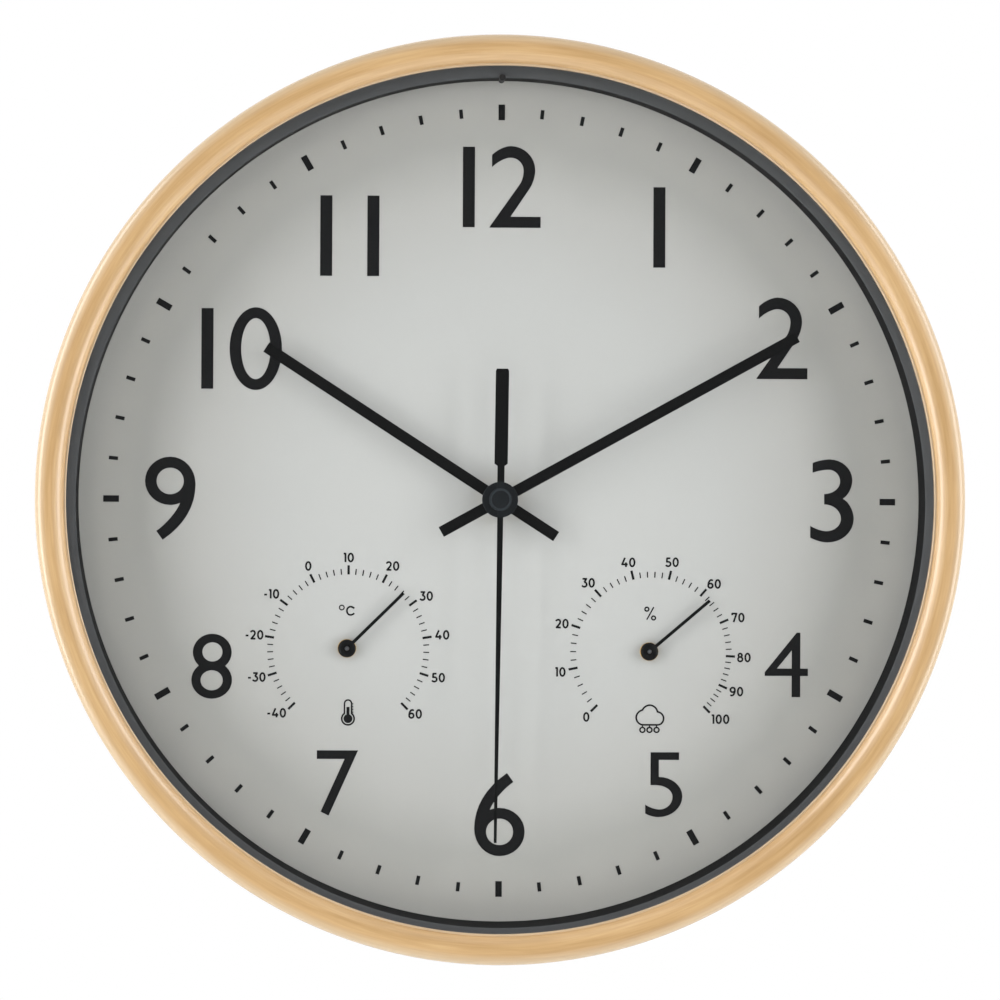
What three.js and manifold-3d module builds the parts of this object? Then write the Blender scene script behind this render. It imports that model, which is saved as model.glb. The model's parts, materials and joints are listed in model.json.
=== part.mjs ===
// Round wall clock with a thermometer and a hygrometer in its dial. Millimetres, +Z up, front towards -Y.
// The hands turn on the Y axis. Depths run from the wall, at the rear rim, towards the viewer.
import * as THREE from "three";
import { mergeVertices } from "three/addons/utils/BufferGeometryUtils.js";
import Module from "manifold-3d";

const wasm = await Module();
wasm.setup();

// Whole clock
const clockDiameter = 300;
const clockDepth = 42;

// Clearances
const seatGap = 0.3;
const slideGap = 0.15;
const runningGap = 0.6;
const cutOverrun = 1;

// Wood-effect frame ring
const sideDraft = 0.6;
const sideWall = 2;
const outerShoulderWidth = 3.2;
const outerShoulderDrop = 3.8;
const crownRound = 0.35;
const crownWidth = 2;
const crownInset = 5;
const innerShoulderWidth = 2.85;
const innerShoulderDrop = 2.8;
const creaseWidth = 0.4;
const creaseDrop = 0.35;
const lipWidth = 0.45;
const lipRound = 0.3;
const lipThickness = 2.7;
const lipOverlap = 1.2;
const seatWall = 1.8;
const crownWall = 2.6;
const bossRadius = 2.7;
const bossLength = 14;
const pilotDepth = 11.5;
const bossCount = 6;
const firstBossAngle = 30;

// Glass, spacer ring, dial and back plate
const glassThickness = 2;
const glassBevel = 0.3;
const facetWidth = 2.6;
const facetDrop = 1.9;
const facetLand = 0.9;
const ringWallLean = 1.1;
const ringWall = 1.2;
const ringHeight = 11.4;
const pipRadius = 1.3;
const pipHeight = 11;
const dialThickness = 1;
const backPlateThickness = 2;
const backPlateGap = 0.4;
const ribHeight = 2;
const ribWidth = 1.2;
const ribCount = 8;
const ribInnerRadius = 44;
const ribRingInset = 11;

// Screws
const screwRadius = 1.3;
const screwHeadRadius = 2.5;
const screwHeadHeight = 1.6;
const screwHeadRound = 0.5;
const backScrewLength = 11;
const driveSlotWidth = 0.7;
const driveSlotLength = 2.8;
const driveSlotDepth = 0.9;

// Keyhole hanger bracket
const bracketThickness = 1.2;
const bracketWeb = 34;
const bracketFoot = 10;
const bracketHeight = 26;
const bracketBelowRim = 38;
const bracketStandoff = 3;
const keyholeEntryRadius = 5;
const keyholeSlotWidth = 5;
const keyholeDrop = 6;
const keyholeRise = 7;
const hangerPostRadius = 3.2;
const hangerPostLength = 5;

// Movement case, plate and nut
const movementWidth = 56;
const movementCorner = 2.5;
const caseWall = 1.2;
const platePanel = 1.5;
const firstLevelGap = 2;
const wheelThickness = 1;
const wheelGap = 1;
const trainLevels = ["intermediate", "second", "third", "centre", "minuteWorks", "hour"];
const frontGap = 0.6;
const threadRadius = 3.75;
const threadLength = 6.8;
const washerThickness = 0.5;
const washerRadius = 5.6;
const nutSides = 6;
const nutAcrossFlats = 9.8;
const nutThickness = 1.8;

// Battery and its contacts
const batteryDiameter = 14.2;
const batteryLength = 50.5;
const batteryNubRadius = 2.7;
const batteryNubLength = 1.4;
const batteryEdgeRound = 0.6;
const contactThickness = 0.4;
const contactWidth = 6;
const contactReach = 11;
const springBulge = 1.1;

// Gears, as tooth counts, modules and bearings seen from the front, anticlockwise from +X
const cannonTeeth = 10;
const minuteWorksTeeth = 30;
const minuteWorksPinionTeeth = 8;
const hourTeeth = 32;
const motionModule = 0.6;
const minuteWorksBearing = 160;
const rotorTeeth = 6;
const intermediateTeeth = 36;
const rotorModule = 0.4;
const rotorBearing = 21;
const intermediatePinionTeeth = 8;
const secondTeeth = 40;
const secondModule = 0.45;
const intermediateBearing = 80;
const secondPinionTeeth = 6;
const thirdTeeth = 45;
const thirdModule = 0.43;
const thirdBearing = 5;
const thirdPinionTeeth = 6;
const centreTeeth = 48;
const pinionOverhang = 0.3;
const arborRadius = 0.5;
const knobArborRadius = 0.8;
const bearingDepth = 0.8;

// Tooth form, as shares of the module and of the tooth pitch
const addendumShare = 0.75;
const dedendumShare = 1.1;
const toothTipShare = 0.11;
const toothRootShare = 0.27;

// Setting knob
const knobRadius = 4.5;
const knobHeight = 3.2;
const knobTeeth = 14;
const knobPocketDepth = 2.5;
const knobPocketGap = 1;

// Stepping motor and circuit
const magnetRadius = 2.8;
const magnetHeight = 2.6;
const airGap = 0.5;
const statorHeight = 8.2;
const statorArm = 5;
const coilLength = 13.8;
const coilRadius = 4;
const coilBore = 2.4;
const coilFlange = 0.8;
const coilCheek = 0.35;
const coreHeight = 3.6;
const coreThickness = 1;
const motorScrewRadius = 0.7;
const motorScrewHeadRadius = 1.4;
const motorScrewHead = 0.7;
const postRadius = 1.9;
const boardWidth = 11.9;
const boardHeight = 17;
const boardThickness = 0.8;
const boardBottom = 9.6;
const chipRadius = 3;
const chipHeight = 0.9;
const crystalRadius = 1;
const crystalLength = 6;

// Pipes and hands
const minutePipeRadius = 1.5;
const minutePipeWall = 0.6;
const hourPipeRadius = 2.5;
const hourPipeWall = 0.7;
const handSheet = 0.4;
const handHubRadius = 5.8;
const handHubHeight = 1;
const handBarWidth = 3.6;
const hourHandLength = 90.5;
const minuteHandLength = 110;
const handTail = 21.8;
const handSpacing = 1.5;
const hourHandAngle = 303.15;
const minuteHandAngle = 61.3;
const secondHandAngle = 180.9;
const secondHandLength = 111;
const secondHubRadius = 3.7;
const secondHubHeight = 1.4;
const secondHubGroove = 0.15;
const secondHubRing = 0.5;
const needleRootWidth = 2;
const needleTipWidth = 0.95;
const counterweightWidth = 4.3;
const counterweightStart = 10.9;
const counterweightEnd = 42.4;
const counterweightChamfer = 0.7;
const neckWidth = 2.3;

// The two small instruments, placed from the axis of the hands
const thermometerOffset = 49.6;
const thermometerDrop = 48.2;
const hygrometerOffset = 48.7;
const hygrometerDrop = 49.3;
const pointerLength = 25.7;
const pointerRootWidth = 1.1;
const pointerTipWidth = 1;
const pointerHubRadius = 2.9;
const pointerHubHeight = 1.4;
const thermometerAngle = 45.7;
const hygrometerAngle = 49.9;
const instrumentArborRadius = 0.6;
const arborCollarRadius = 1.5;
const arborTip = 0.3;
const bushingRadius = 2;
const bushingFlangeRadius = 2.8;
const bushingFlange = 0.4;
const housingRadius = 17;
const housingHeight = 6.5;
const housingWall = 1.2;
const ventCount = 8;
const ventWidth = 2.2;
const ventLength = 7;
const ventRadius = 10;
const senseStrip = 0.5;
const senseWidth = 3.6;
const senseTurns = 4;
const senseInnerRadius = 2.2;
const senseOuterRadius = 12.4;
const anchorRadius = 1;

// Facet counts
const ringSegments = 60;
const roundSegments = 20;
const smallSegments = 10;
const cornerSegments = 4;
const shoulderSteps = 3;
const senseSteps = 9;

// Depths of the stacked pieces, from the wall
const frameRadius = clockDiameter / 2;
const lipRadius = frameRadius - crownInset - crownWidth / 2 - innerShoulderWidth - creaseWidth - lipWidth;
const seatRadius = lipRadius + lipOverlap;
const lipFront = clockDepth - innerShoulderDrop;
const glassFront = lipFront - lipThickness - seatGap;
const glassRear = glassFront - glassThickness;
const ringFront = glassRear - seatGap;
const ringRear = ringFront - ringHeight;
const dialFront = ringRear - seatGap;
const dialRear = dialFront - dialThickness;
const backPlateFront = dialRear - seatGap;
const backPlateRear = backPlateFront - backPlateThickness;
const plateFront = backPlateRear - seatGap;
const plateRear = plateFront - platePanel;
const caseFront = plateRear - seatGap;
const wheelPitch = wheelThickness + wheelGap;
const trainFloor = plateRear - frontGap - trainLevels.length * wheelPitch + wheelGap - firstLevelGap;
const caseRear = trainFloor - caseWall;

// Depths and radii of the pieces that carry the hands
const washerRear = dialFront + seatGap;
const nutRear = washerRear + washerThickness + seatGap;
const threadFront = plateFront + threadLength;
const hourHubRear = threadFront + seatGap;
const minuteHubRear = hourHubRear + handHubHeight + handSpacing;
const secondHubRear = minuteHubRear + handHubHeight + handSpacing;
const minuteBore = minutePipeRadius - minutePipeWall;
const hourBore = hourPipeRadius - hourPipeWall;
const threadBore = hourPipeRadius + seatGap;
const bushingFront = dialFront + seatGap + bushingFlange;
const bossCircle = seatRadius + bossRadius + slideGap;
const plateRadius = frameRadius - sideDraft - sideWall - backPlateGap;
const ribRingRadius = plateRadius - ribRingInset;
const bracketCentreHeight = frameRadius - bracketBelowRim;
const level = (name) => trainFloor + firstLevelGap + trainLevels.indexOf(name) * wheelPitch;

const plastic = (color, roughness = 0.5) => new THREE.MeshStandardMaterial({ color, roughness });
const metal = (color, roughness = 0.35) => new THREE.MeshStandardMaterial({ color, roughness, metalness: 1 });
const woodEffect = plastic(0xd9bc92, 0.45);
const clearGlass = new THREE.MeshStandardMaterial({
  color: 0xf4f8f8,
  roughness: 0.03,
  transparent: true,
  opacity: 0.15,
});
const darkRing = plastic(0x4a4a4a, 0.4);
const dialGrey = plastic(0xb9bab6, 0.7);
const blackSatin = plastic(0x1a1c1e, 0.4);
const backGrey = plastic(0x3a3b3d, 0.6);
const caseBlack = plastic(0x1f2022, 0.5);
const gearWhite = plastic(0xe9e6da, 0.5);
const boardGreen = plastic(0x2c6b42, 0.5);
const steel = metal(0xb8babd);
const brass = metal(0xc9a253);
const copper = metal(0xb56b3a, 0.4);
const cellJacket = plastic(0x8f9498, 0.35);

// Closed body from a geometry, with its seams welded and its empty triangles left out
function solid(geometry) {
  geometry.deleteAttribute("normal");
  geometry.deleteAttribute("uv");
  const welded = mergeVertices(geometry);
  const corners = welded.index.array;
  const triangles = [];
  for (let start = 0; start < corners.length; start += 3) {
    const [a, b, c] = corners.slice(start, start + 3);
    if (a !== b && b !== c && c !== a) triangles.push(a, b, c);
  }
  return new wasm.Manifold(new wasm.Mesh({
    numProp: 3,
    vertProperties: welded.attributes.position.array,
    triVerts: new Uint32Array(triangles),
  }));
}

// Turned body on the Y axis, from [radius, depth] points that end on the axis or close on themselves
function turned(profile, segments = roundSegments) {
  const points = profile.map(([radius, depth]) => new THREE.Vector2(radius, -depth));
  if (THREE.ShapeUtils.area(points) < 0) points.reverse();
  if (points[0].x > 0) points.push(points[0].clone());
  return solid(new THREE.LatheGeometry(points, segments));
}

const tube = (inner, outer, rear, front, segments) =>
  turned([[inner, rear], [outer, rear], [outer, front], [inner, front]], segments);

const rod = (radius, rear, front, segments = smallSegments) =>
  turned([[0, rear], [radius, rear], [radius, front], [0, front]], segments);

// Flat body with its outline in the dial's plane, between two depths
function plate(shape, rear, front) {
  const geometry = new THREE.ExtrudeGeometry(shape, {
    depth: front - rear,
    bevelEnabled: false,
    curveSegments: cornerSegments,
  });
  geometry.rotateX(Math.PI / 2);
  geometry.translate(0, -rear, 0);
  return solid(geometry);
}

const outline = (points) => new THREE.Shape(points.map(([x, z]) => new THREE.Vector2(x, z)));

const bar = (left, right, bottom, top, rear, front) =>
  plate(outline([[left, bottom], [right, bottom], [right, top], [left, top]]), rear, front);

// Moves a body in the dial's plane
const shifted = (body, x, z) => body.translate([x, 0, z]);

function roundedSquare(size, corner) {
  const half = size / 2;
  const shape = new THREE.Shape();
  shape.moveTo(half - corner, -half);
  shape.absarc(half - corner, corner - half, corner, -Math.PI / 2, 0);
  shape.absarc(half - corner, half - corner, corner, 0, Math.PI / 2);
  shape.absarc(corner - half, half - corner, corner, Math.PI / 2, Math.PI);
  shape.absarc(corner - half, corner - half, corner, Math.PI, Math.PI * 1.5);
  return shape;
}

// Place on a circle, at an angle anticlockwise from +X as seen from the front
function polar(radius, degrees) {
  const angle = THREE.MathUtils.degToRad(degrees);
  return [radius * Math.cos(angle), radius * Math.sin(angle)];
}

// Outline of a bent strip: a path pushed half a thickness to either side
function strip(path, thickness) {
  const points = path.map(([x, z]) => new THREE.Vector2(x, z));
  const side = (sign) => points.map((point, index) => {
    const before = point.clone().sub(points[Math.max(index - 1, 0)]).normalize();
    const after = points[Math.min(index + 1, points.length - 1)].clone().sub(point).normalize();
    const along = before.add(after).normalize();
    const leg = index > 0 ? point.clone().sub(points[index - 1]) : points[1].clone().sub(point);
    const normal = new THREE.Vector2(-along.y, along.x);
    const spread = Math.abs(normal.cross(leg.normalize()));
    return point.clone().addScaledVector(normal, sign * thickness / 2 / spread);
  });
  return new THREE.Shape([...side(-1), ...side(1).reverse()]);
}

// Gear outline with one tooth centred on +X
function gearShape(teeth, gearModule) {
  const tip = (teeth / 2 + addendumShare) * gearModule;
  const root = (teeth / 2 - dedendumShare) * gearModule;
  const pitch = 2 * Math.PI / teeth;
  const corners = [
    [root, -toothRootShare],
    [tip, -toothTipShare],
    [tip, toothTipShare],
    [root, toothRootShare],
  ];
  const shape = new THREE.Shape();
  for (let tooth = 0; tooth < teeth; tooth += 1) {
    for (const [radius, share] of corners) {
      const angle = (tooth + share) * pitch;
      shape.lineTo(radius * Math.cos(angle), radius * Math.sin(angle));
    }
  }
  return shape;
}

// Turn that puts a gap of one gear opposite a tooth of its driver, across their line of centres
function meshTurn(driverTurn, driverTeeth, teeth, degrees) {
  const bearing = THREE.MathUtils.degToRad(degrees);
  return bearing + Math.PI - (driverTurn - bearing) * driverTeeth / teeth - Math.PI / teeth;
}

// Names a body and gives it its finish
function piece(name, body, finish) {
  const { vertProperties, triVerts } = body.getMesh();
  const geometry = new THREE.BufferGeometry();
  geometry.setAttribute("position", new THREE.BufferAttribute(vertProperties, 3));
  geometry.setIndex(new THREE.BufferAttribute(triVerts, 1));
  geometry.computeVertexNormals();
  const mesh = new THREE.Mesh(geometry, finish);
  mesh.name = name;
  return mesh;
}

// Puts a piece on its own axis, turned clockwise as seen from the front
function placed(mesh, [x, z], clockwise = 0) {
  mesh.position.set(x, 0, z);
  mesh.rotation.y = clockwise;
  return mesh;
}

function screwBody(length, radius, headRadius, headHeight, round) {
  return turned([
    [0, -headHeight],
    [headRadius - round, -headHeight],
    [headRadius, round - headHeight],
    [headRadius, 0],
    [radius, 0],
    [radius, length - radius],
    [0, length],
  ], smallSegments);
}

// Case screw with a cross recess in its head
function crossHeadScrew(length) {
  const half = driveSlotLength / 2;
  const side = driveSlotWidth / 2;
  const top = -screwHeadHeight - cutOverrun;
  const bottom = driveSlotDepth - screwHeadHeight;
  return screwBody(length, screwRadius, screwHeadRadius, screwHeadHeight, screwHeadRound)
    .subtract(bar(-half, half, -side, side, top, bottom))
    .subtract(bar(-side, side, -half, half, top, bottom));
}

// Frame: a moulded ring, hollow at the back, with the glass seat and six screw bosses inside
function bezelFrame() {
  const shoulder = [];
  for (let step = 0; step <= shoulderSteps; step += 1) {
    const angle = step / shoulderSteps * Math.PI / 2;
    shoulder.push([
      frameRadius - outerShoulderWidth * (1 - Math.cos(angle)),
      clockDepth - crownRound - (outerShoulderDrop - crownRound) * (1 - Math.sin(angle)),
    ]);
  }
  const crown = frameRadius - crownInset;
  const innerStart = crown - crownWidth / 2;
  const inner = [];
  for (let step = 0; step <= shoulderSteps; step += 1) {
    const angle = step / shoulderSteps * Math.PI / 2;
    inner.push([
      innerStart - innerShoulderWidth * Math.sin(angle),
      lipFront + (innerShoulderDrop - crownRound) * Math.cos(angle),
    ]);
  }
  const crease = innerStart - innerShoulderWidth - creaseWidth / 2;
  const lipRear = lipFront - lipThickness;
  const channelFront = clockDepth - crownWall;
  const ring = turned([
    [frameRadius - sideDraft, 0],
    ...shoulder,
    [crown, clockDepth],
    ...inner,
    [crease, lipFront - creaseDrop],
    [crease - creaseWidth / 2, lipFront],
    [lipRadius + lipRound, lipFront],
    [lipRadius, lipFront - lipRound],
    [lipRadius, lipRear],
    [seatRadius, lipRear],
    [seatRadius, backPlateFront + seatGap],
    [seatRadius + seatWall, backPlateFront + seatGap],
    [seatRadius + seatWall, channelFront],
    [crown, channelFront],
    [frameRadius - sideWall, clockDepth - outerShoulderDrop - crownWall / 2],
    [frameRadius - sideDraft - sideWall, 0],
  ], ringSegments);
  const bossRear = backPlateFront + seatGap;
  return bossPlaces().reduce((frame, [x, z]) => {
    const boss = shifted(rod(bossRadius, bossRear, bossRear + bossLength), x, z);
    const pilot = shifted(rod(screwRadius + slideGap, bossRear - cutOverrun, bossRear + pilotDepth), x, z);
    return frame.add(boss).subtract(pilot);
  }, ring);
}

function bossPlaces() {
  return Array.from({ length: bossCount }, (_, index) =>
    polar(bossCircle, firstBossAngle + index * 360 / bossCount));
}

function glassLens() {
  const radius = seatRadius - seatGap;
  return turned([
    [0, glassRear],
    [radius - glassBevel, glassRear],
    [radius, glassRear + glassBevel],
    [radius, glassFront - glassBevel],
    [radius - glassBevel, glassFront],
    [0, glassFront],
  ], ringSegments);
}

// Spacer ring: a thin wall that stands on the dial, with a sloping facet under the glass
const ringOuter = seatRadius - seatGap;
const facetInner = ringOuter - facetLand - facetWidth;
const ringInner = facetInner - ringWallLean;

function innerRing() {
  const ring = turned([
    [ringOuter, ringFront],
    [ringOuter - facetLand, ringFront],
    [facetInner, ringFront - facetDrop],
    [ringInner, ringRear],
    [ringInner + ringWall, ringRear],
    [facetInner + ringWall, ringFront - facetDrop - ringWall / 2],
    [ringOuter, ringFront - ringWall],
  ], ringSegments);
  return ring.add(shifted(rod(pipRadius, ringRear, ringRear + pipHeight), 0, ringInner));
}

const thermometerPlace = [-thermometerOffset, -thermometerDrop];
const hygrometerPlace = [hygrometerOffset, -hygrometerDrop];
const instrumentPlaces = [thermometerPlace, hygrometerPlace];

function dialPlate() {
  const dial = rod(seatRadius - seatGap, dialRear, dialFront, ringSegments);
  return drilled(dial, dialRear, dialFront);
}

// Cuts the holes for the threaded boss and the two bushings
function drilled(body, rear, front) {
  const holeRear = rear - cutOverrun;
  const holeFront = front + cutOverrun;
  const centre = rod(threadRadius + seatGap, holeRear, holeFront, roundSegments);
  const hole = rod(bushingRadius + seatGap, holeRear, holeFront);
  const bored = body.subtract(centre);
  return instrumentPlaces.reduce((rest, place) => rest.subtract(shifted(hole, ...place)), bored);
}

const bothSides = [-1, 1];
const footOffset = (bracketWeb + bracketFoot) / 2;
const hangerFeet = bothSides.map((side) => [side * footOffset, bracketCentreHeight]);

// Back plate: a disc with radial ribs, locating rings for the instruments and two hanger posts
function backPlate() {
  const ribRear = backPlateRear - ribHeight;
  const ribFront = backPlateRear + ribWidth;
  const ribOuter = ribRingRadius + ribWidth / 2;
  let body = rod(plateRadius, backPlateRear, backPlateFront, ringSegments);
  for (let rib = 0; rib < ribCount; rib += 1) {
    const degrees = (rib + 1 / 2) * 360 / ribCount;
    const blade = bar(ribInnerRadius, ribOuter, -ribWidth / 2, ribWidth / 2, ribRear, ribFront);
    body = body.add(blade.rotate([0, degrees, 0]));
  }
  body = body.add(tube(ribRingRadius, ribRingRadius + ribWidth, ribRear, ribFront, ringSegments));
  for (const place of instrumentPlaces) {
    const inner = housingRadius + seatGap;
    const clear = rod(inner, ribRear - cutOverrun, backPlateRear, roundSegments);
    const locator = tube(inner, inner + ribWidth, ribRear, ribFront, roundSegments);
    body = body.subtract(shifted(clear, ...place)).add(shifted(locator, ...place));
  }
  body = drilled(body, backPlateRear, backPlateFront);
  for (const [x, z] of bossPlaces()) {
    const hole = rod(screwRadius + seatGap, backPlateRear - cutOverrun, backPlateFront + cutOverrun);
    body = body.subtract(shifted(hole, x, z));
  }
  for (const [x, z] of hangerFeet) {
    const postRear = backPlateRear - hangerPostLength;
    const post = rod(hangerPostRadius, postRear, ribFront);
    const pilot = rod(screwRadius + slideGap, postRear - cutOverrun, backPlateRear);
    body = body.add(shifted(post, x, z)).subtract(shifted(pilot, x, z));
  }
  return body;
}

// Hanger bracket: a hat-shaped steel strap with a keyhole, entry below and slot above
const footFront = backPlateRear - hangerPostLength - seatGap;

function hangerBracket() {
  const halfWeb = bracketWeb / 2;
  const footCentre = footFront - bracketThickness / 2;
  const webCentre = bracketStandoff + bracketThickness / 2;
  const path = [
    [-halfWeb - bracketFoot, footCentre],
    [-halfWeb, footCentre],
    [-halfWeb, webCentre],
    [halfWeb, webCentre],
    [halfWeb, footCentre],
    [halfWeb + bracketFoot, footCentre],
  ];
  const geometry = new THREE.ExtrudeGeometry(strip(path, bracketThickness), {
    depth: bracketHeight,
    bevelEnabled: false,
  });
  geometry.rotateX(Math.PI);
  geometry.translate(0, 0, bracketCentreHeight + bracketHeight / 2);
  const holeRear = bracketStandoff - cutOverrun;
  const holeFront = bracketStandoff + bracketThickness + cutOverrun;
  const entry = shifted(rod(keyholeEntryRadius, holeRear, holeFront), 0, bracketCentreHeight - keyholeDrop);
  const slotHalf = keyholeSlotWidth / 2;
  const slotTop = bracketCentreHeight + keyholeRise;
  const slot = bar(-slotHalf, slotHalf, bracketCentreHeight - keyholeDrop, slotTop, holeRear, holeFront);
  const slotEnd = shifted(rod(slotHalf, holeRear, holeFront), 0, slotTop);
  let bracket = solid(geometry).subtract(entry).subtract(slot).subtract(slotEnd);
  const footRear = footFront - bracketThickness;
  const hole = rod(screwRadius + seatGap, footRear - cutOverrun, footFront + cutOverrun);
  for (const place of hangerFeet) bracket = bracket.subtract(shifted(hole, ...place));
  return bracket;
}

// Places of the arbors in the movement
const minuteWorksDistance = (cannonTeeth + minuteWorksTeeth) * motionModule / 2;
const hourModule = 2 * minuteWorksDistance / (minuteWorksPinionTeeth + hourTeeth);
const thirdDistance = (secondPinionTeeth + thirdTeeth) * thirdModule / 2;
const centreModule = 2 * thirdDistance / (thirdPinionTeeth + centreTeeth);
const intermediateDistance = (intermediatePinionTeeth + secondTeeth) * secondModule / 2;
const rotorDistance = (rotorTeeth + intermediateTeeth) * rotorModule / 2;
const centrePlace = [0, 0];
const minuteWorksPlace = polar(minuteWorksDistance, minuteWorksBearing);
const thirdPlace = polar(thirdDistance, thirdBearing);
const intermediatePlace = polar(intermediateDistance, intermediateBearing);
const rotorOffset = polar(rotorDistance, rotorBearing);
const rotorPlace = intermediatePlace.map((value, axis) => value + rotorOffset[axis]);
const bearings = [thirdPlace, intermediatePlace, rotorPlace];

// Battery bay at the foot of the movement, with the gear train above its partition
const halfMovement = movementWidth / 2;
const cavityHalf = halfMovement - caseWall;
const bayHeight = batteryDiameter + 2 * seatGap;
const bayTop = bayHeight - cavityHalf;
const trainBottom = bayTop + caseWall;
const batteryHeight = bayHeight / 2 - cavityHalf;
const batteryDepth = caseRear + batteryDiameter / 2 + seatGap;
const contactPlane = cavityHalf - seatGap - contactThickness / 2;
const contactRear = level("third") - contactWidth / 2;
const contactFront = level("third") + contactWidth / 2;
const boardRear = level("minuteWorks");
const contactTop = trainBottom + contactWidth;

function movementCase() {
  let body = plate(roundedSquare(movementWidth, movementCorner), caseRear, caseFront);
  const open = caseFront + cutOverrun;
  const pocketRadius = knobRadius + knobPocketGap;
  const pocketFront = caseRear + knobPocketDepth;
  const train = bar(-cavityHalf, cavityHalf, trainBottom, cavityHalf, trainFloor, open);
  const wallFront = pocketFront + caseWall;
  const pocketWall = rod(pocketRadius + caseWall, caseRear, wallFront, roundSegments);
  const pocket = rod(pocketRadius, caseRear - cutOverrun, pocketFront, roundSegments)
    .add(rod(knobArborRadius + seatGap, caseRear, wallFront + cutOverrun));
  const bay = bar(-cavityHalf, cavityHalf, -cavityHalf, bayTop, caseRear - cutOverrun, open);
  body = body
    .subtract(train.subtract(shifted(pocketWall, ...minuteWorksPlace)))
    .subtract(shifted(pocket, ...minuteWorksPlace))
    .subtract(bay);
  const notchInner = contactPlane - contactThickness;
  const notchRear = contactRear - seatGap;
  for (const [left, right] of [[-cavityHalf, -notchInner], [notchInner, cavityHalf]]) {
    body = body.subtract(bar(left, right, bayTop - cutOverrun, trainBottom + cutOverrun, notchRear, open));
  }
  const pivot = rod(arborRadius + slideGap, trainFloor - bearingDepth, trainFloor + cutOverrun);
  return [...bearings, centrePlace].reduce((rest, place) => rest.subtract(shifted(pivot, ...place)), body);
}

// Movement plate: the front of the movement, with the threaded boss, bearings and posts
const boardRight = contactPlane - contactThickness / 2 - seatGap;
const boardLeft = boardRight - boardWidth;
const boardTop = boardHeight - boardBottom;
const boardPosts = [boardTop - postRadius, postRadius - boardBottom].map((z) => [boardRight - postRadius, z]);
const coilHeight = cavityHalf - seatGap - coilRadius - coilCheek;
const statorRear = level("minuteWorks");
const armOffset = coilLength / 2 + seatGap + statorArm / 2;
const motorPosts = bothSides.map((side) => [rotorPlace[0] + side * armOffset, coilHeight]);

function movementPlate() {
  const postFront = plateRear + platePanel / 2;
  const boardPost = rod(postRadius, boardRear + boardThickness + seatGap, postFront);
  const motorPost = rod(postRadius, statorRear + wheelThickness + seatGap, postFront);
  const pilot = rod(motorScrewRadius + slideGap, statorRear, plateRear);
  const pivotHole = (radius) => rod(radius + slideGap, plateRear - cutOverrun, plateRear + bearingDepth);
  const boss = rod(threadRadius, plateRear, threadFront, roundSegments);
  const bossBore = rod(threadBore, plateRear - cutOverrun, threadFront + cutOverrun, roundSegments);
  let body = plate(roundedSquare(movementWidth, movementCorner), plateRear, plateFront).add(boss);
  for (const place of boardPosts) body = body.add(shifted(boardPost, ...place));
  for (const place of motorPosts) body = body.add(shifted(motorPost, ...place));
  for (const place of motorPosts) body = body.subtract(shifted(pilot, ...place));
  for (const place of bearings) body = body.subtract(shifted(pivotHole(arborRadius), ...place));
  return body.subtract(bossBore).subtract(shifted(pivotHole(knobArborRadius), ...minuteWorksPlace));
}

function mountingNut() {
  const corner = nutAcrossFlats / 2 / Math.cos(Math.PI / nutSides);
  const corners = Array.from({ length: nutSides }, (_, index) => polar(corner, index * 360 / nutSides));
  const nutFront = nutRear + nutThickness;
  const bore = rod(threadRadius + slideGap, nutRear - cutOverrun, nutFront + cutOverrun, roundSegments);
  return plate(outline(corners), nutRear, nutFront).subtract(bore);
}

// Wheel at one level with a pinion one level in front of it, both on one arbor
function wheelWithPinion(name, wheelShape, pinionShape, arbor) {
  const rear = level(name);
  const wheel = plate(wheelShape, rear, rear + wheelThickness);
  const pinion = plate(pinionShape, rear, rear + wheelPitch + wheelThickness + pinionOverhang);
  return wheel.add(pinion).add(arbor);
}

const arborRear = trainFloor - bearingDepth + slideGap;
const arborFront = plateRear + bearingDepth - slideGap;

// Gear turns at rest, worked out along the train so that every pair is in mesh
const minuteTurn = -THREE.MathUtils.degToRad(minuteHandAngle);
const minuteWorksTurn = meshTurn(minuteTurn, cannonTeeth, minuteWorksTeeth, minuteWorksBearing);
const hourTurn = meshTurn(minuteWorksTurn, minuteWorksPinionTeeth, hourTeeth, minuteWorksBearing + 180);
const secondTurn = -THREE.MathUtils.degToRad(secondHandAngle);
const thirdTurn = meshTurn(secondTurn, secondPinionTeeth, thirdTeeth, thirdBearing);
const centreTurn = meshTurn(thirdTurn, thirdPinionTeeth, centreTeeth, thirdBearing + 180);
const intermediateTurn = meshTurn(secondTurn, secondTeeth, intermediatePinionTeeth, intermediateBearing);
const rotorTurn = meshTurn(intermediateTurn, intermediateTeeth, rotorTeeth, rotorBearing);

function intermediateWheel() {
  const wheel = gearShape(intermediateTeeth, rotorModule);
  const pinion = gearShape(intermediatePinionTeeth, secondModule);
  return wheelWithPinion("intermediate", wheel, pinion, rod(arborRadius, arborRear, arborFront));
}

function thirdWheel() {
  const wheel = gearShape(thirdTeeth, thirdModule);
  const pinion = gearShape(thirdPinionTeeth, centreModule);
  return wheelWithPinion("third", wheel, pinion, rod(arborRadius, arborRear, arborFront));
}

function secondWheel() {
  const wheel = gearShape(secondTeeth, secondModule);
  const pinion = gearShape(secondPinionTeeth, thirdModule);
  const front = secondHubRear + secondHubHeight / 2 + handSheet / 2;
  return wheelWithPinion("second", wheel, pinion, rod(arborRadius, arborRear, front));
}

function minuteWorksWheel() {
  const wheel = gearShape(minuteWorksTeeth, motionModule);
  const pinion = gearShape(minuteWorksPinionTeeth, hourModule);
  const arbor = rod(knobArborRadius, knobRear + knobHeight / 2, arborFront);
  return wheelWithPinion("minuteWorks", wheel, pinion, arbor);
}

// Minute pipe: carries the slipping centre wheel, the cannon pinion and the minute hand
const minutePipeRear = level("third") + wheelThickness + pinionOverhang + seatGap;

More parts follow.
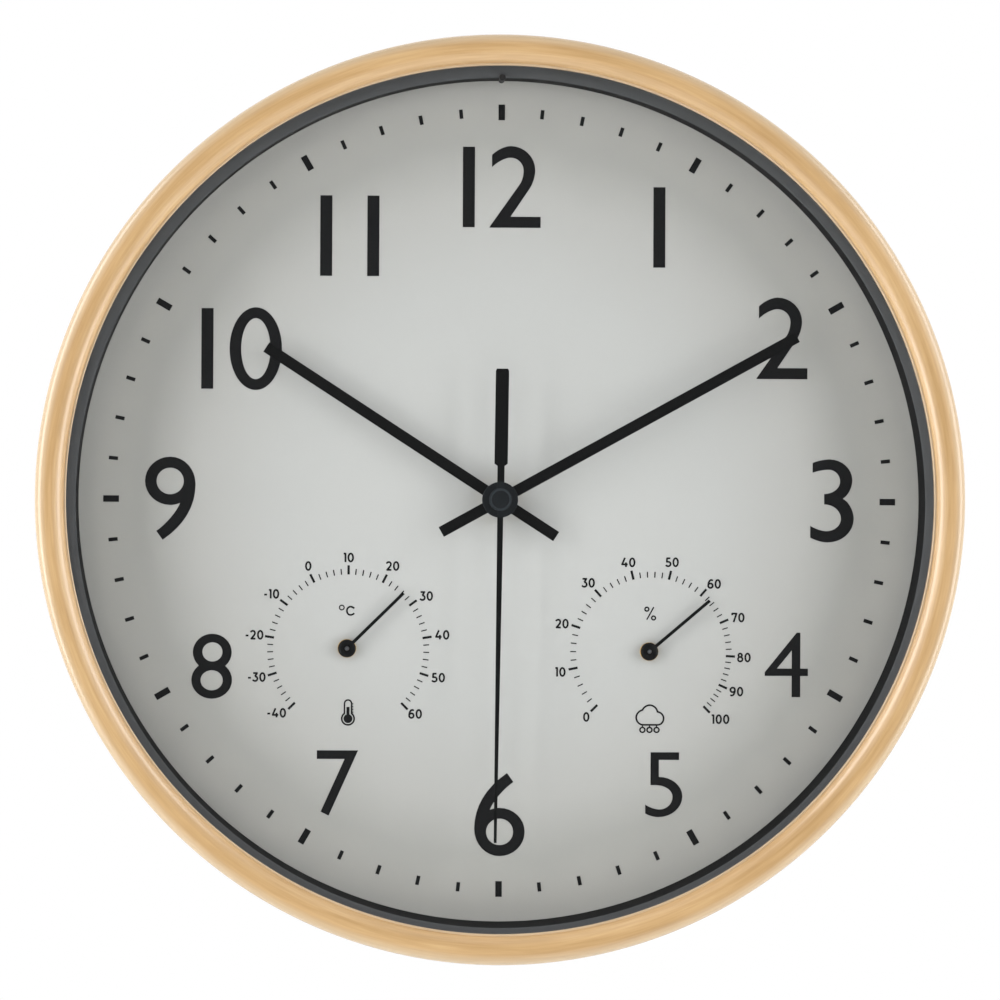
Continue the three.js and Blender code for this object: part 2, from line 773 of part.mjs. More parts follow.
function cannonPinion() {
  const pinionRear = level("minuteWorks") - pinionOverhang;
  const pinionFront = level("minuteWorks") + wheelThickness + pinionOverhang;
  const pinion = plate(gearShape(cannonTeeth, motionModule), pinionRear, pinionFront);
  const pipe = rod(minutePipeRadius, minutePipeRear, minuteHubRear + handHubHeight, roundSegments);
  const bore = rod(minuteBore, minutePipeRear - cutOverrun, secondHubRear);
  return pinion.add(pipe).subtract(bore);
}

function centreWheel() {
  const rear = level("centre");
  const bore = rod(minutePipeRadius + slideGap, rear - cutOverrun, rear + wheelPitch, roundSegments);
  return plate(gearShape(centreTeeth, centreModule), rear, rear + wheelThickness).subtract(bore);
}

// Hour wheel and its pipe, which carries the hour hand
function hourWheel() {
  const rear = level("hour");
  const wheel = plate(gearShape(hourTeeth, hourModule), rear, rear + wheelThickness);
  const pipe = rod(hourPipeRadius, rear, hourHubRear + handHubHeight, roundSegments);
  return wheel.add(pipe).subtract(rod(hourBore, rear - cutOverrun, minuteHubRear, roundSegments));
}

// Rotor: a ring magnet and a pinion moulded on one arbor
function rotorBody() {
  const pinionRear = level("intermediate") - pinionOverhang;
  const pinionFront = level("intermediate") + wheelThickness + pinionOverhang;
  const magnetRear = statorRear + (wheelThickness - magnetHeight) / 2;
  const pinion = plate(gearShape(rotorTeeth, rotorModule), pinionRear, pinionFront);
  const magnet = rod(magnetRadius, magnetRear, magnetRear + magnetHeight);
  return pinion.add(magnet).add(rod(arborRadius, arborRear, arborFront));
}

// Stator: a soft-iron plate round the rotor, whose arms rise to the ends of the coil core
function statorPlate() {
  const [x, z] = rotorPlace;
  const side = armOffset + statorArm / 2;
  const gap = coilLength / 2 + seatGap;
  const yoke = z + statorHeight / 2;
  const top = coilHeight + statorArm / 2;
  const shape = outline([
    [x - side, z - statorHeight / 2],
    [x + side, z - statorHeight / 2],
    [x + side, top],
    [x + gap, top],
    [x + gap, yoke],
    [x - gap, yoke],
    [x - gap, top],
    [x - side, top],
  ]);
  const holeRear = statorRear - cutOverrun;
  const holeFront = statorRear + wheelThickness + cutOverrun;
  const window = shifted(rod(magnetRadius + airGap, holeRear, holeFront), x, z);
  const notch = shifted(rod(arborRadius + runningGap, holeRear, holeFront), ...intermediatePlace);
  const body = plate(shape, statorRear, statorRear + wheelThickness).subtract(window).subtract(notch);
  return motorScrewHoles(body, holeRear, holeFront);
}

function motorScrewHoles(body, rear, front) {
  return motorPosts.reduce(
    (rest, [x, z]) => rest.subtract(shifted(rod(motorScrewRadius + slideGap, rear, front), x, z)),
    body,
  );
}

const coreFront = statorRear - seatGap;
const coreRear = coreFront - coreThickness;

function coilCore() {
  const x = rotorPlace[0];
  const half = armOffset + statorArm / 2;
  const height = coreHeight / 2;
  const body = bar(x - half, x + half, coilHeight - height, coilHeight + height, coreRear, coreFront);
  return motorScrewHoles(body, coreRear - cutOverrun, coreFront + cutOverrun);
}

// Winding and its two bobbin cheeks, turned on Y and laid along X
function driveCoil() {
  const half = coilLength / 2;
  const cheek = coilRadius + coilCheek;
  return turned([
    [coilBore, -half],
    [cheek, -half],
    [cheek, coilFlange - half],
    [coilRadius, coilFlange - half],
    [coilRadius, half - coilFlange],
    [cheek, half - coilFlange],
    [cheek, half],
    [coilBore, half],
  ]);
}

const knobRear = caseRear + knobPocketDepth - seatGap - knobHeight;

function settingKnob() {
  const knobFront = knobRear + knobHeight;
  const knobModule = 2 * knobRadius / (knobTeeth + 2 * addendumShare);
  const boreRear = knobRear + knobHeight / 2 - slideGap;
  return plate(gearShape(knobTeeth, knobModule), knobRear, knobFront)
    .subtract(rod(knobArborRadius + slideGap, boreRear, knobFront + cutOverrun));
}

// Battery: a cell with its nub, turned on Y and laid along X
function batteryCell() {
  const radius = batteryDiameter / 2;
  const half = batteryLength / 2;
  const shoulder = half - batteryNubLength;
  return turned([
    [0, -half],
    [radius - batteryEdgeRound, -half],
    [radius, batteryEdgeRound - half],
    [radius, shoulder - batteryEdgeRound],
    [radius - batteryEdgeRound, shoulder],
    [batteryNubRadius, shoulder],
    [batteryNubRadius, half],
    [0, half],
  ]);
}

function contactStrip(bulge, side) {
  const path = [
    [side * contactPlane, contactTop],
    [side * contactPlane, bayTop - springBulge],
    [side * (contactPlane - bulge), batteryHeight],
    [side * contactPlane, batteryHeight - contactReach / 2],
  ];
  return plate(strip(bulge > 0 ? path : [path[0], path[3]], contactThickness), contactRear, contactFront);
}

// Bar hand: square ends, a hub, and a bore for its pipe
function barHand(length, pipeRadius, hubRear) {
  const half = handBarWidth / 2;
  const sheetRear = hubRear + (handHubHeight - handSheet) / 2;
  const blade = bar(-half, half, -handTail, length, sheetRear, sheetRear + handSheet);
  const hub = rod(handHubRadius, hubRear, hubRear + handHubHeight, roundSegments);
  const boreFront = hubRear + handHubHeight + cutOverrun;
  return blade.add(hub).subtract(rod(pipeRadius + slideGap, hubRear - cutOverrun, boreFront, roundSegments));
}

function secondHand() {
  const sheetRear = secondHubRear + (secondHubHeight - handSheet) / 2;
  const root = needleRootWidth / 2;
  const tip = needleTipWidth / 2;
  const neck = neckWidth / 2;
  const weight = counterweightWidth / 2;
  const shoulder = counterweightStart + counterweightChamfer;
  const foot = counterweightEnd - counterweightChamfer;
  const right = [
    [neck, 0],
    [neck, -counterweightStart],
    [weight, -shoulder],
    [weight, -foot],
    [weight - counterweightChamfer / 2, -counterweightEnd],
  ];
  const left = right.map(([x, z]) => [-x, z]).reverse();
  const weightBody = plate(outline([...left, ...right]), sheetRear, sheetRear + handSheet);
  const needle = plate(
    outline([[-root, 0], [root, 0], [tip, secondHandLength], [-tip, secondHandLength]]),
    sheetRear,
    sheetRear + handSheet,
  );
  const boreFront = secondHubRear + secondHubHeight / 2 + handSheet / 2 + slideGap;
  const hubFront = secondHubRear + secondHubHeight;
  const ringOut = secondHubRadius - secondHubRing;
  const ringIn = ringOut - secondHubRing;
  const hub = turned([
    [0, secondHubRear],
    [secondHubRadius, secondHubRear],
    [secondHubRadius, hubFront - secondHubGroove],
    [ringOut, hubFront - secondHubGroove],
    [ringOut, hubFront],
    [ringIn, hubFront],
    [ringIn, hubFront - secondHubGroove],
    [0, hubFront - secondHubGroove],
  ]);
  const hubBore = rod(arborRadius + slideGap, secondHubRear - cutOverrun, boreFront);
  return hub.add(weightBody).add(needle).subtract(hubBore);
}

// One instrument: vented housing, bimetal spiral, arbor, brass bushing and pointer
const pointerRear = bushingFront + seatGap;
const pointerFront = pointerRear + pointerHubHeight;
const housingFront = backPlateRear - seatGap;
const housingRear = housingFront - housingHeight;
const senseRear = housingRear + housingWall + (housingHeight - housingWall - senseWidth) / 2;

function instrumentHousing() {
  const inner = housingRadius - housingWall;
  const floor = housingRear + housingWall;
  let body = turned([
    [0, housingRear],
    [housingRadius, housingRear],
    [housingRadius, housingFront],
    [inner, housingFront],
    [inner, floor],
    [0, floor],
  ]);
  for (let vent = 0; vent < ventCount; vent += 1) {
    const start = ventRadius - ventLength / 2;
    const half = ventWidth / 2;
    const slot = bar(start, start + ventLength, -half, half, housingRear - cutOverrun, floor + cutOverrun);
    body = body.subtract(slot.rotate([0, (vent + 1 / 2) * 360 / ventCount, 0]));
  }
  const anchor = rod(anchorRadius, housingRear + housingWall / 2, senseRear + senseWidth);
  const anchorPlace = senseOuterRadius + senseStrip / 2 + seatGap + anchorRadius;
  const bearing = rod(instrumentArborRadius + slideGap, housingRear - cutOverrun, floor + cutOverrun);
  return body.add(shifted(anchor, anchorPlace, 0)).subtract(bearing);
}

function sensingSpiral() {
  const steps = senseTurns * senseSteps;
  const path = Array.from({ length: steps + 1 }, (_, step) => {
    const share = step / steps;
    const radius = senseInnerRadius + (senseOuterRadius - senseInnerRadius) * share;
    return polar(radius, share * senseTurns * 360);
  });
  return plate(strip(path, senseStrip), senseRear, senseRear + senseWidth);
}

function instrumentArbor() {
  return turned([
    [0, housingRear + housingWall / 2],
    [instrumentArborRadius, housingRear + housingWall / 2],
    [instrumentArborRadius, senseRear],
    [arborCollarRadius, senseRear],
    [arborCollarRadius, senseRear + senseWidth],
    [instrumentArborRadius, senseRear + senseWidth],
    [instrumentArborRadius, pointerFront + arborTip],
    [0, pointerFront + arborTip],
  ], smallSegments);
}

function instrumentBushing() {
  const bore = instrumentArborRadius + slideGap;
  return turned([
    [bore, backPlateRear],
    [bushingRadius, backPlateRear],
    [bushingRadius, dialFront + seatGap],
    [bushingFlangeRadius, dialFront + seatGap],
    [bushingFlangeRadius, bushingFront],
    [bore, bushingFront],
  ]);
}

function instrumentPointer() {
  const sheetRear = pointerRear + (pointerHubHeight - handSheet) / 2;
  const root = pointerRootWidth / 2;
  const tip = pointerTipWidth / 2;
  const needle = plate(
    outline([[-root, 0], [root, 0], [tip, pointerLength], [-tip, pointerLength]]),
    sheetRear,
    sheetRear + handSheet,
  );
  const hub = rod(pointerHubRadius, pointerRear, pointerFront, roundSegments);
  const bore = rod(instrumentArborRadius + slideGap, pointerRear - cutOverrun, pointerFront + cutOverrun);
  return needle.add(hub).subtract(bore);
}

function instrument(name, place, pointerAngle) {
  const group = new THREE.Group();
  const pointer = piece(`${name}_pointer`, instrumentPointer(), blackSatin);
  group.add(
    piece(`${name}_housing`, instrumentHousing(), backGrey),
    piece(`${name}_sensing_coil`, sensingSpiral(), brass),
    piece(`${name}_arbor`, instrumentArbor(), steel),
    piece(`${name}_bushing`, instrumentBushing(), brass),
    placed(pointer, centrePlace, THREE.MathUtils.degToRad(pointerAngle)),
  );
  return placed(group, place);
}

// The case with its dial, glass and fasteners
function casing() {
  const group = new THREE.Group();
  group.add(
    piece("bezel_frame", bezelFrame(), woodEffect),
    piece("glass_lens", glassLens(), clearGlass),
    piece("inner_ring", innerRing(), darkRing),
    piece("dial_plate", dialPlate(), dialGrey),
    piece("back_plate", backPlate(), backGrey),
    piece("hanger_bracket", hangerBracket(), steel),
  );
  bossPlaces().forEach(([x, z], index) => {
    const screw = placed(piece(`back_screw_${index + 1}`, crossHeadScrew(backScrewLength), steel), [x, z]);
    screw.position.y = -(backPlateRear - seatGap);
    group.add(screw);
  });
  const hangerScrew = crossHeadScrew(hangerPostLength + bracketThickness);
  hangerFeet.forEach(([x, z], index) => {
    const screw = placed(piece(`hanger_screw_${index + 1}`, hangerScrew, steel), [x, z]);
    screw.position.y = -(footFront - bracketThickness - seatGap);
    group.add(screw);
  });
  return group;
}

// The quartz movement with its train, motor and cell
function movement() {
  const group = new THREE.Group();
  const washer = tube(threadRadius + seatGap, washerRadius, washerRear, washerRear + washerThickness);
  group.add(
    piece("movement_case", movementCase(), caseBlack),
    piece("movement_plate", movementPlate(), caseBlack),
    piece("mounting_washer", washer, steel),
    piece("mounting_nut", mountingNut(), brass),
    placed(piece("rotor", rotorBody(), metal(0x55565a)), rotorPlace, -rotorTurn),
    placed(piece("intermediate_wheel", intermediateWheel(), gearWhite), intermediatePlace, -intermediateTurn),
    placed(piece("second_wheel", secondWheel(), gearWhite), centrePlace, -secondTurn),
    placed(piece("third_wheel", thirdWheel(), gearWhite), thirdPlace, -thirdTurn),
    placed(piece("centre_wheel", centreWheel(), gearWhite), centrePlace, -centreTurn),
    placed(piece("cannon_pinion", cannonPinion(), brass), centrePlace, -minuteTurn),
    placed(piece("minute_works_wheel", minuteWorksWheel(), gearWhite), minuteWorksPlace, -minuteWorksTurn),
    placed(piece("hour_wheel", hourWheel(), gearWhite), centrePlace, -hourTurn),
    placed(piece("setting_knob", settingKnob(), caseBlack), minuteWorksPlace),
    piece("stator", statorPlate(), steel),
    piece("coil_core", coilCore(), steel),
  );
  const coil = placed(piece("drive_coil", driveCoil(), copper), [rotorPlace[0], coilHeight]);
  coil.position.y = -(coreRear + coreFront) / 2;
  coil.rotation.z = Math.PI / 2;
  group.add(coil);
  const boardMiddle = (boardLeft + boardRight) / 2;
  const chip = placed(piece("timing_chip", rod(chipRadius, -chipHeight, 0), blackSatin), [boardMiddle, 0]);
  chip.position.y = -(boardRear - slideGap);
  const crystal = placed(
    piece("quartz_crystal", rod(crystalRadius, -crystalLength / 2, crystalLength / 2), steel),
    [boardMiddle, -boardBottom / 2 - chipRadius / 2],
  );
  crystal.position.y = -(boardRear - slideGap - crystalRadius);
  crystal.rotation.z = Math.PI / 2;
  const board = bar(boardLeft, boardRight, -boardBottom, boardTop, boardRear, boardRear + boardThickness);
  group.add(piece("circuit_board", board, boardGreen), chip, crystal);
  const screwLength = coreThickness + seatGap + wheelThickness + seatGap + motorScrewHead;
  const motorScrew = screwBody(screwLength, motorScrewRadius, motorScrewHeadRadius, motorScrewHead, slideGap);
  motorPosts.forEach(([x, z], index) => {
    const screw = placed(piece(`motor_screw_${index + 1}`, motorScrew, steel), [x, z]);
    screw.position.y = -(coreRear - slideGap);
    group.add(screw);
  });
  const battery = placed(piece("battery", batteryCell(), cellJacket), [0, batteryHeight]);
  battery.position.x = contactPlane - contactThickness / 2 - seatGap - batteryLength / 2;
  battery.position.y = -batteryDepth;
  battery.rotation.z = Math.PI / 2;
  group.add(
    battery,
    piece("battery_contact_positive", contactStrip(0, 1), steel),
    piece("battery_contact_negative", contactStrip(springBulge, -1), steel),
  );
  return group;
}

function hands() {
  const group = new THREE.Group();
  const clockwise = THREE.MathUtils.degToRad;
  const hour = piece("hour_hand", barHand(hourHandLength, hourPipeRadius, hourHubRear), blackSatin);
  const minute = piece("minute_hand", barHand(minuteHandLength, minutePipeRadius, minuteHubRear), blackSatin);
  group.add(
    placed(hour, centrePlace, clockwise(hourHandAngle)),
    placed(minute, centrePlace, clockwise(minuteHandAngle)),
    placed(piece("second_hand", secondHand(), blackSatin), centrePlace, clockwise(secondHandAngle)),
  );
  return group;
}

const fromWall = new THREE.Group();
fromWall.position.y = clockDepth / 2;
fromWall.add(
  casing(),
  movement(),
  hands(),
  instrument("thermometer", thermometerPlace, thermometerAngle),
  instrument("hygrometer", hygrometerPlace, hygrometerAngle),
);

const wallClock = new THREE.Group();
wallClock.add(fromWall);

export default wallClock;
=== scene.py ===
import json
import math

import bmesh
import bpy
from mathutils import Matrix, Vector
from mathutils.geometry import delaunay_2d_cdt


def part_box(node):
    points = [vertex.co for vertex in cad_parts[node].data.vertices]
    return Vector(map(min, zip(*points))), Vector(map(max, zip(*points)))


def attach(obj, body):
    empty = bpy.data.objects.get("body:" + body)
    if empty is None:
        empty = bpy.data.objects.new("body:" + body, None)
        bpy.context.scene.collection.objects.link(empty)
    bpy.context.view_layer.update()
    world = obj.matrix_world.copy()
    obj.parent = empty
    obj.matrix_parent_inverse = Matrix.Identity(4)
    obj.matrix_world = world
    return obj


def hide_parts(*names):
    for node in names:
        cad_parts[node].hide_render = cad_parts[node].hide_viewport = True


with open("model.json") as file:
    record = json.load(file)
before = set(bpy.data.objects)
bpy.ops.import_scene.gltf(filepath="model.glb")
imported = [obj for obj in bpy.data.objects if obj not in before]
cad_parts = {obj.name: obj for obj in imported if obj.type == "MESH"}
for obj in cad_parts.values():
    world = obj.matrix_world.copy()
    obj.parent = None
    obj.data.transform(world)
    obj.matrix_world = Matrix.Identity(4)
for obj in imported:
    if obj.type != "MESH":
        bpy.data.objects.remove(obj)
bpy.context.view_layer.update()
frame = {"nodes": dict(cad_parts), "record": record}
cad_nodes = frame["nodes"]


# Camera: a long lens that stands a little to the left of the clock's axis and just below it. It aims
# at the middle of the frame's face.
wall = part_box("bezel_frame")[1].y
aim = Vector((-0.0004, wall - 0.038, -0.0002))
camera_distance = 1.8
camera_left = 0.0629
camera_below = 0.022
lens_length = 201.2
lens = bpy.data.cameras.new("camera")
lens.lens = lens_length
camera = bpy.data.objects.new("camera", lens)
camera.location = (-camera_left, aim.y - camera_distance, -camera_below)
camera.rotation_euler = (aim - camera.location).to_track_quat("-Z", "Y").to_euler()
bpy.context.scene.collection.objects.link(camera)
bpy.context.scene.camera = camera
bpy.context.scene.view_settings.view_transform = "Standard"


# Studio: a white surround that is dim on the viewer's side, two tall softboxes at the sides with a
# weaker pair in front, one above, a faint one below, and a pale round floor well below the clock.
class Shade:
    """One output of a shader node. Sums and products of shades add Math nodes."""

    def __init__(self, finish, socket):
        self.finish = finish
        self.socket = socket

    def math(self, operation, first, second):
        return self.finish.node("ShaderNodeMath", {"operation": operation}, {0: first, 1: second})

    def __add__(self, other):
        return self.math("ADD", self, other)

    def __radd__(self, other):
        return self.math("ADD", other, self)

    def __sub__(self, other):
        return self.math("SUBTRACT", self, other)

    def __rsub__(self, other):
        return self.math("SUBTRACT", other, self)

    def __mul__(self, other):
        return self.math("MULTIPLY", self, other)

    def __rmul__(self, other):
        return self.math("MULTIPLY", other, self)

    def __truediv__(self, other):
        return self.math("DIVIDE", self, other)

    def __pow__(self, other):
        return self.math("POWER", self, other)

    def __gt__(self, other):
        return self.math("GREATER_THAN", self, other)

    def __lt__(self, other):
        return self.math("LESS_THAN", self, other)


class Finish:
    """The shader nodes of a material, or of the world."""

    def __init__(self, owner):
        owner.use_nodes = True
        self.owner = owner
        self.tree = owner.node_tree
        self.tree.nodes.clear()

    def node(self, kind, settings, sockets, output=0):
        """Adds a node, its settings first, and gives back one of its outputs."""
        made = self.tree.nodes.new(kind)
        for name, value in settings.items():
            if name == "stops":
                made.color_ramp.elements.remove(made.color_ramp.elements[1])
                made.color_ramp.elements[0].color = value[0][1]
                for position, colour in value[1:]:
                    made.color_ramp.elements.new(position).color = colour
                made.color_ramp.elements[0].position = value[0][0]
            else:
                setattr(made, name, value)
        for name, value in sockets.items():
            if isinstance(value, Shade):
                self.tree.links.new(value.socket, made.inputs[name])
            else:
                made.inputs[name].default_value = value
        return Shade(self, made.outputs[output]) if len(made.outputs) else None

    def ramp(self, factor, *stops):
        return self.node("ShaderNodeValToRGB", {"stops": stops}, {"Fac": factor})

    def noise(self, scale, detail, roughness=0.5):
        sockets = {"Scale": scale, "Detail": detail, "Roughness": roughness}
        return self.node("ShaderNodeTexNoise", {}, sockets)


def paint(red, green, blue):
    """A screen colour, 0 to 255, as the linear colour that a shader takes."""
    def linear(level):
        share = level / 255
        return share / 12.92 if share < 0.04045 else ((share + 0.055) / 1.055) ** 2.4
    return (linear(red), linear(green), linear(blue), 1)


surround = Finish(bpy.context.scene.world or bpy.data.worlds.new("studio"))
bpy.context.scene.world = surround.owner
white = paint(255, 255, 255)
front_glow = 0.16
back_glow = 1.1
half_blend = 0.2
direction = surround.node("ShaderNodeTexCoord", {}, {}, "Generated")
glow = surround.node("ShaderNodeMapRange", {}, {
    "Value": surround.node("ShaderNodeSeparateXYZ", {}, {"Vector": direction}, "Y"),
    "From Min": -half_blend,
    "From Max": half_blend,
    "To Min": front_glow,
    "To Max": back_glow,
})
lighting = surround.node("ShaderNodeBackground", {}, {"Color": white, "Strength": glow})
seen = surround.node("ShaderNodeBackground", {}, {"Color": white, "Strength": 1})
direct = surround.node("ShaderNodeLightPath", {}, {}, "Is Camera Ray")
both = surround.node("ShaderNodeMixShader", {}, {0: direct, 1: lighting, 2: seen})
surround.node("ShaderNodeOutputWorld", {}, {"Surface": both})


def softbox(name, place, width, height, power):
    """Adds a lamp that faces the clock, unseen by the camera."""
    light = bpy.data.lights.new(name, "AREA")
    light.shape = "RECTANGLE"
    light.size = width
    light.size_y = height
    light.energy = power
    lamp = bpy.data.objects.new(name, light)
    lamp.location = place
    lamp.rotation_euler = (-Vector(place)).to_track_quat("-Z", "Y").to_euler()
    lamp.visible_camera = False
    bpy.context.scene.collection.objects.link(lamp)


for side, side_power in ((-1, 36), (1, 30)):
    softbox("softbox_side", (side * 1.5, -0.6, 0.3), width=0.7, height=2.2, power=side_power)
    softbox("softbox_front", (side * 1.2, -1.5, 0.4), width=0.9, height=0.9, power=4.5)
softbox("softbox_above", (0, -0.7, 1.4), width=1.6, height=0.9, power=4.5)
softbox("softbox_under", (0, -0.05, -0.7), width=1.6, height=0.9, power=1.3)

floor_radius = 1.8
floor_height = -0.75
floor_mesh = bpy.data.meshes.new("floor")
disc = bmesh.new()
bmesh.ops.create_circle(disc, cap_ends=True, radius=floor_radius, segments=96)
disc.to_mesh(floor_mesh)
disc.free()
floor = bpy.data.objects.new("floor", floor_mesh)
floor.location.z = floor_height
bpy.context.scene.collection.objects.link(floor)
pale = Finish(bpy.data.materials.new("floor_paint"))
floor_colour = pale.ramp(pale.noise(3, 2), (0.3, paint(236, 236, 234)), (0.7, paint(242, 242, 240)))
matt = pale.node("ShaderNodeBsdfPrincipled", {}, {"Base Color": floor_colour, "Roughness": 0.9})
pale.node("ShaderNodeOutputMaterial", {}, {"Surface": matt})
floor_mesh.materials.append(pale.owner)


# Frame: one moulded ring with a wood-effect skin, its grain running round. Rounded shoulders meet
# in a crown, and a lip past a fine crease holds the glass. Six screw bosses stand inside it.
def traced(path, steps=8):
    """Points of an outline. A pair is a round stretch: it heads for its first point, and ends at its
    second. A third item there sets how far it fills the corner, which is else that of an arc."""
    arc_fill = 0.5523
    points = []
    for stop in path:
        if not isinstance(stop[0], tuple):
            points.append(Vector(stop))
            continue
        start, corner, end = points[-1], Vector(stop[0]), Vector(stop[1])
        fill = stop[2] if len(stop) > 2 else arc_fill
        leave = start.lerp(corner, fill)
        arrive = end.lerp(corner, fill)
        for step in range(1, steps + 1):
            t = step / steps
            s = 1 - t
            points.append(s**3 * start + 3 * s * s * t * leave + 3 * s * t * t * arrive + t**3 * end)
    return points


def depths(node):
    """Rear and front depth of a node, from the wall."""
    low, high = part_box(node)
    return wall - high.y, wall - low.y


def turn(shape, profile, segments, centre=(0, 0)):
    """Adds a body turned about the Y axis, from a closed outline of radius and depth from the wall."""
    rings = []
    for segment in range(segments):
        angle = segment / segments * math.tau
        across, up = math.sin(angle), math.cos(angle)
        rings.append([
            shape.verts.new((centre[0] + radius * across, wall - depth, centre[1] + radius * up))
            for radius, depth in profile
        ])
    for segment, ring in enumerate(rings):
        after = rings[(segment + 1) % segments]
        for point in range(len(profile)):
            corner = (point + 1) % len(profile)
            if profile[point][0] or profile[corner][0]:
                shape.faces.new((ring[point], ring[corner], after[corner], after[point]))


def weld_seams(shape):
    """Joins the points that lie within a micrometre of each other."""
    reach = 1e-6
    bmesh.ops.remove_doubles(shape, verts=shape.verts, dist=reach)


def add_piece(name, shape, finish, body, slot, *replaced, sharp=35):
    """Puts a shape in the scene with its finish, on the body that carries it. Its seams are welded,
    its faces point out, and its edges are sharp past an angle in degrees."""
    weld_seams(shape)
    bmesh.ops.recalc_face_normals(shape, faces=shape.faces)
    mesh = bpy.data.meshes.new(name)
    shape.to_mesh(mesh)
    shape.free()
    mesh.shade_smooth()
    mesh.set_sharp_from_angle(angle=math.radians(sharp))
    mesh.materials.append(finish)
    piece = bpy.data.objects.new(name, mesh)
    bpy.context.scene.collection.objects.link(piece)
    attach(piece, body)
    if replaced:
        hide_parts(*replaced)
    return piece


def material(name):
    return Finish(bpy.data.materials.new(name))


def surface(finish, **sockets):
    """Closes a material with a Principled surface. Underscores in a socket's name stand for spaces."""
    named = {name.replace("_", " "): value for name, value in sockets.items()}
    body = finish.node("ShaderNodeBsdfPrincipled", {}, named)
    finish.node("ShaderNodeOutputMaterial", {}, {"Surface": body})
    return finish.owner


def place_in(finish):
    """Across, depth and height of the shaded point, in metres."""
    point = finish.node("ShaderNodeTexCoord", {}, {}, "Object")
    return [finish.node("ShaderNodeSeparateXYZ", {}, {"Vector": point}, axis) for axis in "XYZ"]


def from_axis(across, height):
    """Distance from the axis of the hands."""
    return (across * across + height * height) ** 0.5


def blend(share, first, second):
    """Mixes two colours, by the share of the second."""
    return share.finish.node("ShaderNodeMix", {"data_type": "RGBA"}, {0: share, 6: first, 7: second}, 2)


def relief(height, strength, distance):
    """Fine relief of a surface, as a normal."""
    sockets = {"Strength": strength, "Distance": distance, "Height": height}
    return height.finish.node("ShaderNodeBump", {}, sockets)


def wood_effect(lip_radius, rim_radius):
    """Printed grain: long fine streaks round the ring, in a few tans, under a satin lacquer. It is paler
    on the lip, and over the outer edge it turns paler and greyer as a painted reflection of the white
    surround."""
    finish = material("wood_effect")
    across, depth, height = place_in(finish)
    radius = from_axis(across, height)
    streaks_round = 9
    streaks_out = 1500
    bands_out = 330
    reflection_start = rim_radius - 0.0035
    reflection_end = rim_radius - 0.0008

    def grain(length, width, detail):
        around = finish.node("ShaderNodeCombineXYZ", {}, {
            "X": across / radius * length,
            "Y": height / radius * length,
            "Z": radius * width,
        })
        return finish.node("ShaderNodeTexNoise", {"noise_dimensions": "4D"}, {
            "Vector": around,
            "W": depth * width,
            "Scale": 1,
            "Detail": detail,
            "Roughness": 0.55,
        })

    fine = grain(streaks_round, streaks_out, 3)
    broad = grain(streaks_round / 3, bands_out, 2)
    colour = finish.ramp(
        fine * 0.45 + broad * 0.55,
        (0.3, paint(168, 132, 84)),
        (0.45, paint(180, 145, 97)),
        (0.55, paint(188, 153, 105)),
        (0.7, paint(200, 167, 120)),
    )
    # Painted reflection: over the outer shoulder the colour turns paler and greyer, as the white surround
    # would show in it.
    painted_edge_reflection = finish.node("ShaderNodeMapRange", {}, {
        "Value": radius,
        "From Min": reflection_start,
        "From Max": reflection_end,
        "To Max": 0.55,
    })
    colour = blend((lip_radius > radius) * 0.45, colour, paint(212, 192, 166))
    colour = blend(painted_edge_reflection, colour, paint(178, 162, 136))
    return surface(
        finish,
        Base_Color=colour,
        Roughness=0.4 + fine * 0.12,
        Normal=relief(fine, 0.15, 0.0001),
        Coat_Weight=1.0,
        Coat_Roughness=0.26,
    )


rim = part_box("bezel_frame")[1].x
face = depths("bezel_frame")[1]
side_draft = 0.0006
side_wall = 0.002
shoulder_drop = 0.0038
crown_inset = 0.005
crown_wall = 0.0026
inner_drop = 0.0028
inner_width = 0.0041
inner_ease = 0.0009
crease_width = 0.0004
crease_depth = 0.00012
crease_rise = 0.00006
lip_width = 0.00045
lip_round = 0.0003
lip_thickness = 0.0027
lip_overlap = 0.0015
seat_wall = 0.0018
plate_gap = 0.0003
foot_bevel = 0.0004
crown = rim - crown_inset
crease = crown - inner_width - crease_width / 2
lip_edge = crease - crease_width / 2 - lip_width
lip_front = face - inner_drop
seat = lip_edge + lip_overlap
seat_rear = depths("back_plate")[1] + plate_gap
frame_ring = bmesh.new()
turn(frame_ring, traced([
    (rim - side_draft - foot_bevel, 0),
    (rim - side_draft, foot_bevel),
    (rim, face - shoulder_drop),
    ((rim, face), (crown, face), 0.68),
    ((crease + crease_width / 2 + inner_ease, face), (crease + crease_width / 2, lip_front), 0.48),
    ((crease, lip_front - crease_depth), (crease - crease_width / 2, lip_front - crease_rise)),
    ((crease - crease_width / 2, lip_front), (lip_edge + lip_width / 2, lip_front)),
    ((lip_edge, lip_front), (lip_edge, lip_front - lip_round)),
    (lip_edge, lip_front - lip_thickness),
    (seat, lip_front - lip_thickness),
    (seat, seat_rear),
    (seat + seat_wall, seat_rear),
    (seat + seat_wall, face - crown_wall),
    (crown, face - crown_wall),
    (rim - side_wall, face - shoulder_drop - crown_wall / 2),
    (rim - side_draft - side_wall, 0),
], steps=14), 360)
boss_radius = 0.0027
boss_bore = 0.00145
boss_length = 0.014
boss_gap = 0.00015
boss_count = 6
first_boss_angle = 30
boss_circle = seat + boss_radius + boss_gap
for boss in range(boss_count):
    angle = math.radians(first_boss_angle + boss * 360 / boss_count)
    turn(frame_ring, [
        (boss_bore, seat_rear),
        (boss_radius, seat_rear),
        (boss_radius, seat_rear + boss_length),
        (boss_bore, seat_rear + boss_length),
    ], 24, (boss_circle * math.cos(angle), boss_circle * math.sin(angle)))
grained = wood_effect(crease, rim)
add_piece("frame_ring", frame_ring, grained, "case", "wood_effect", "bezel_frame", sharp=28)


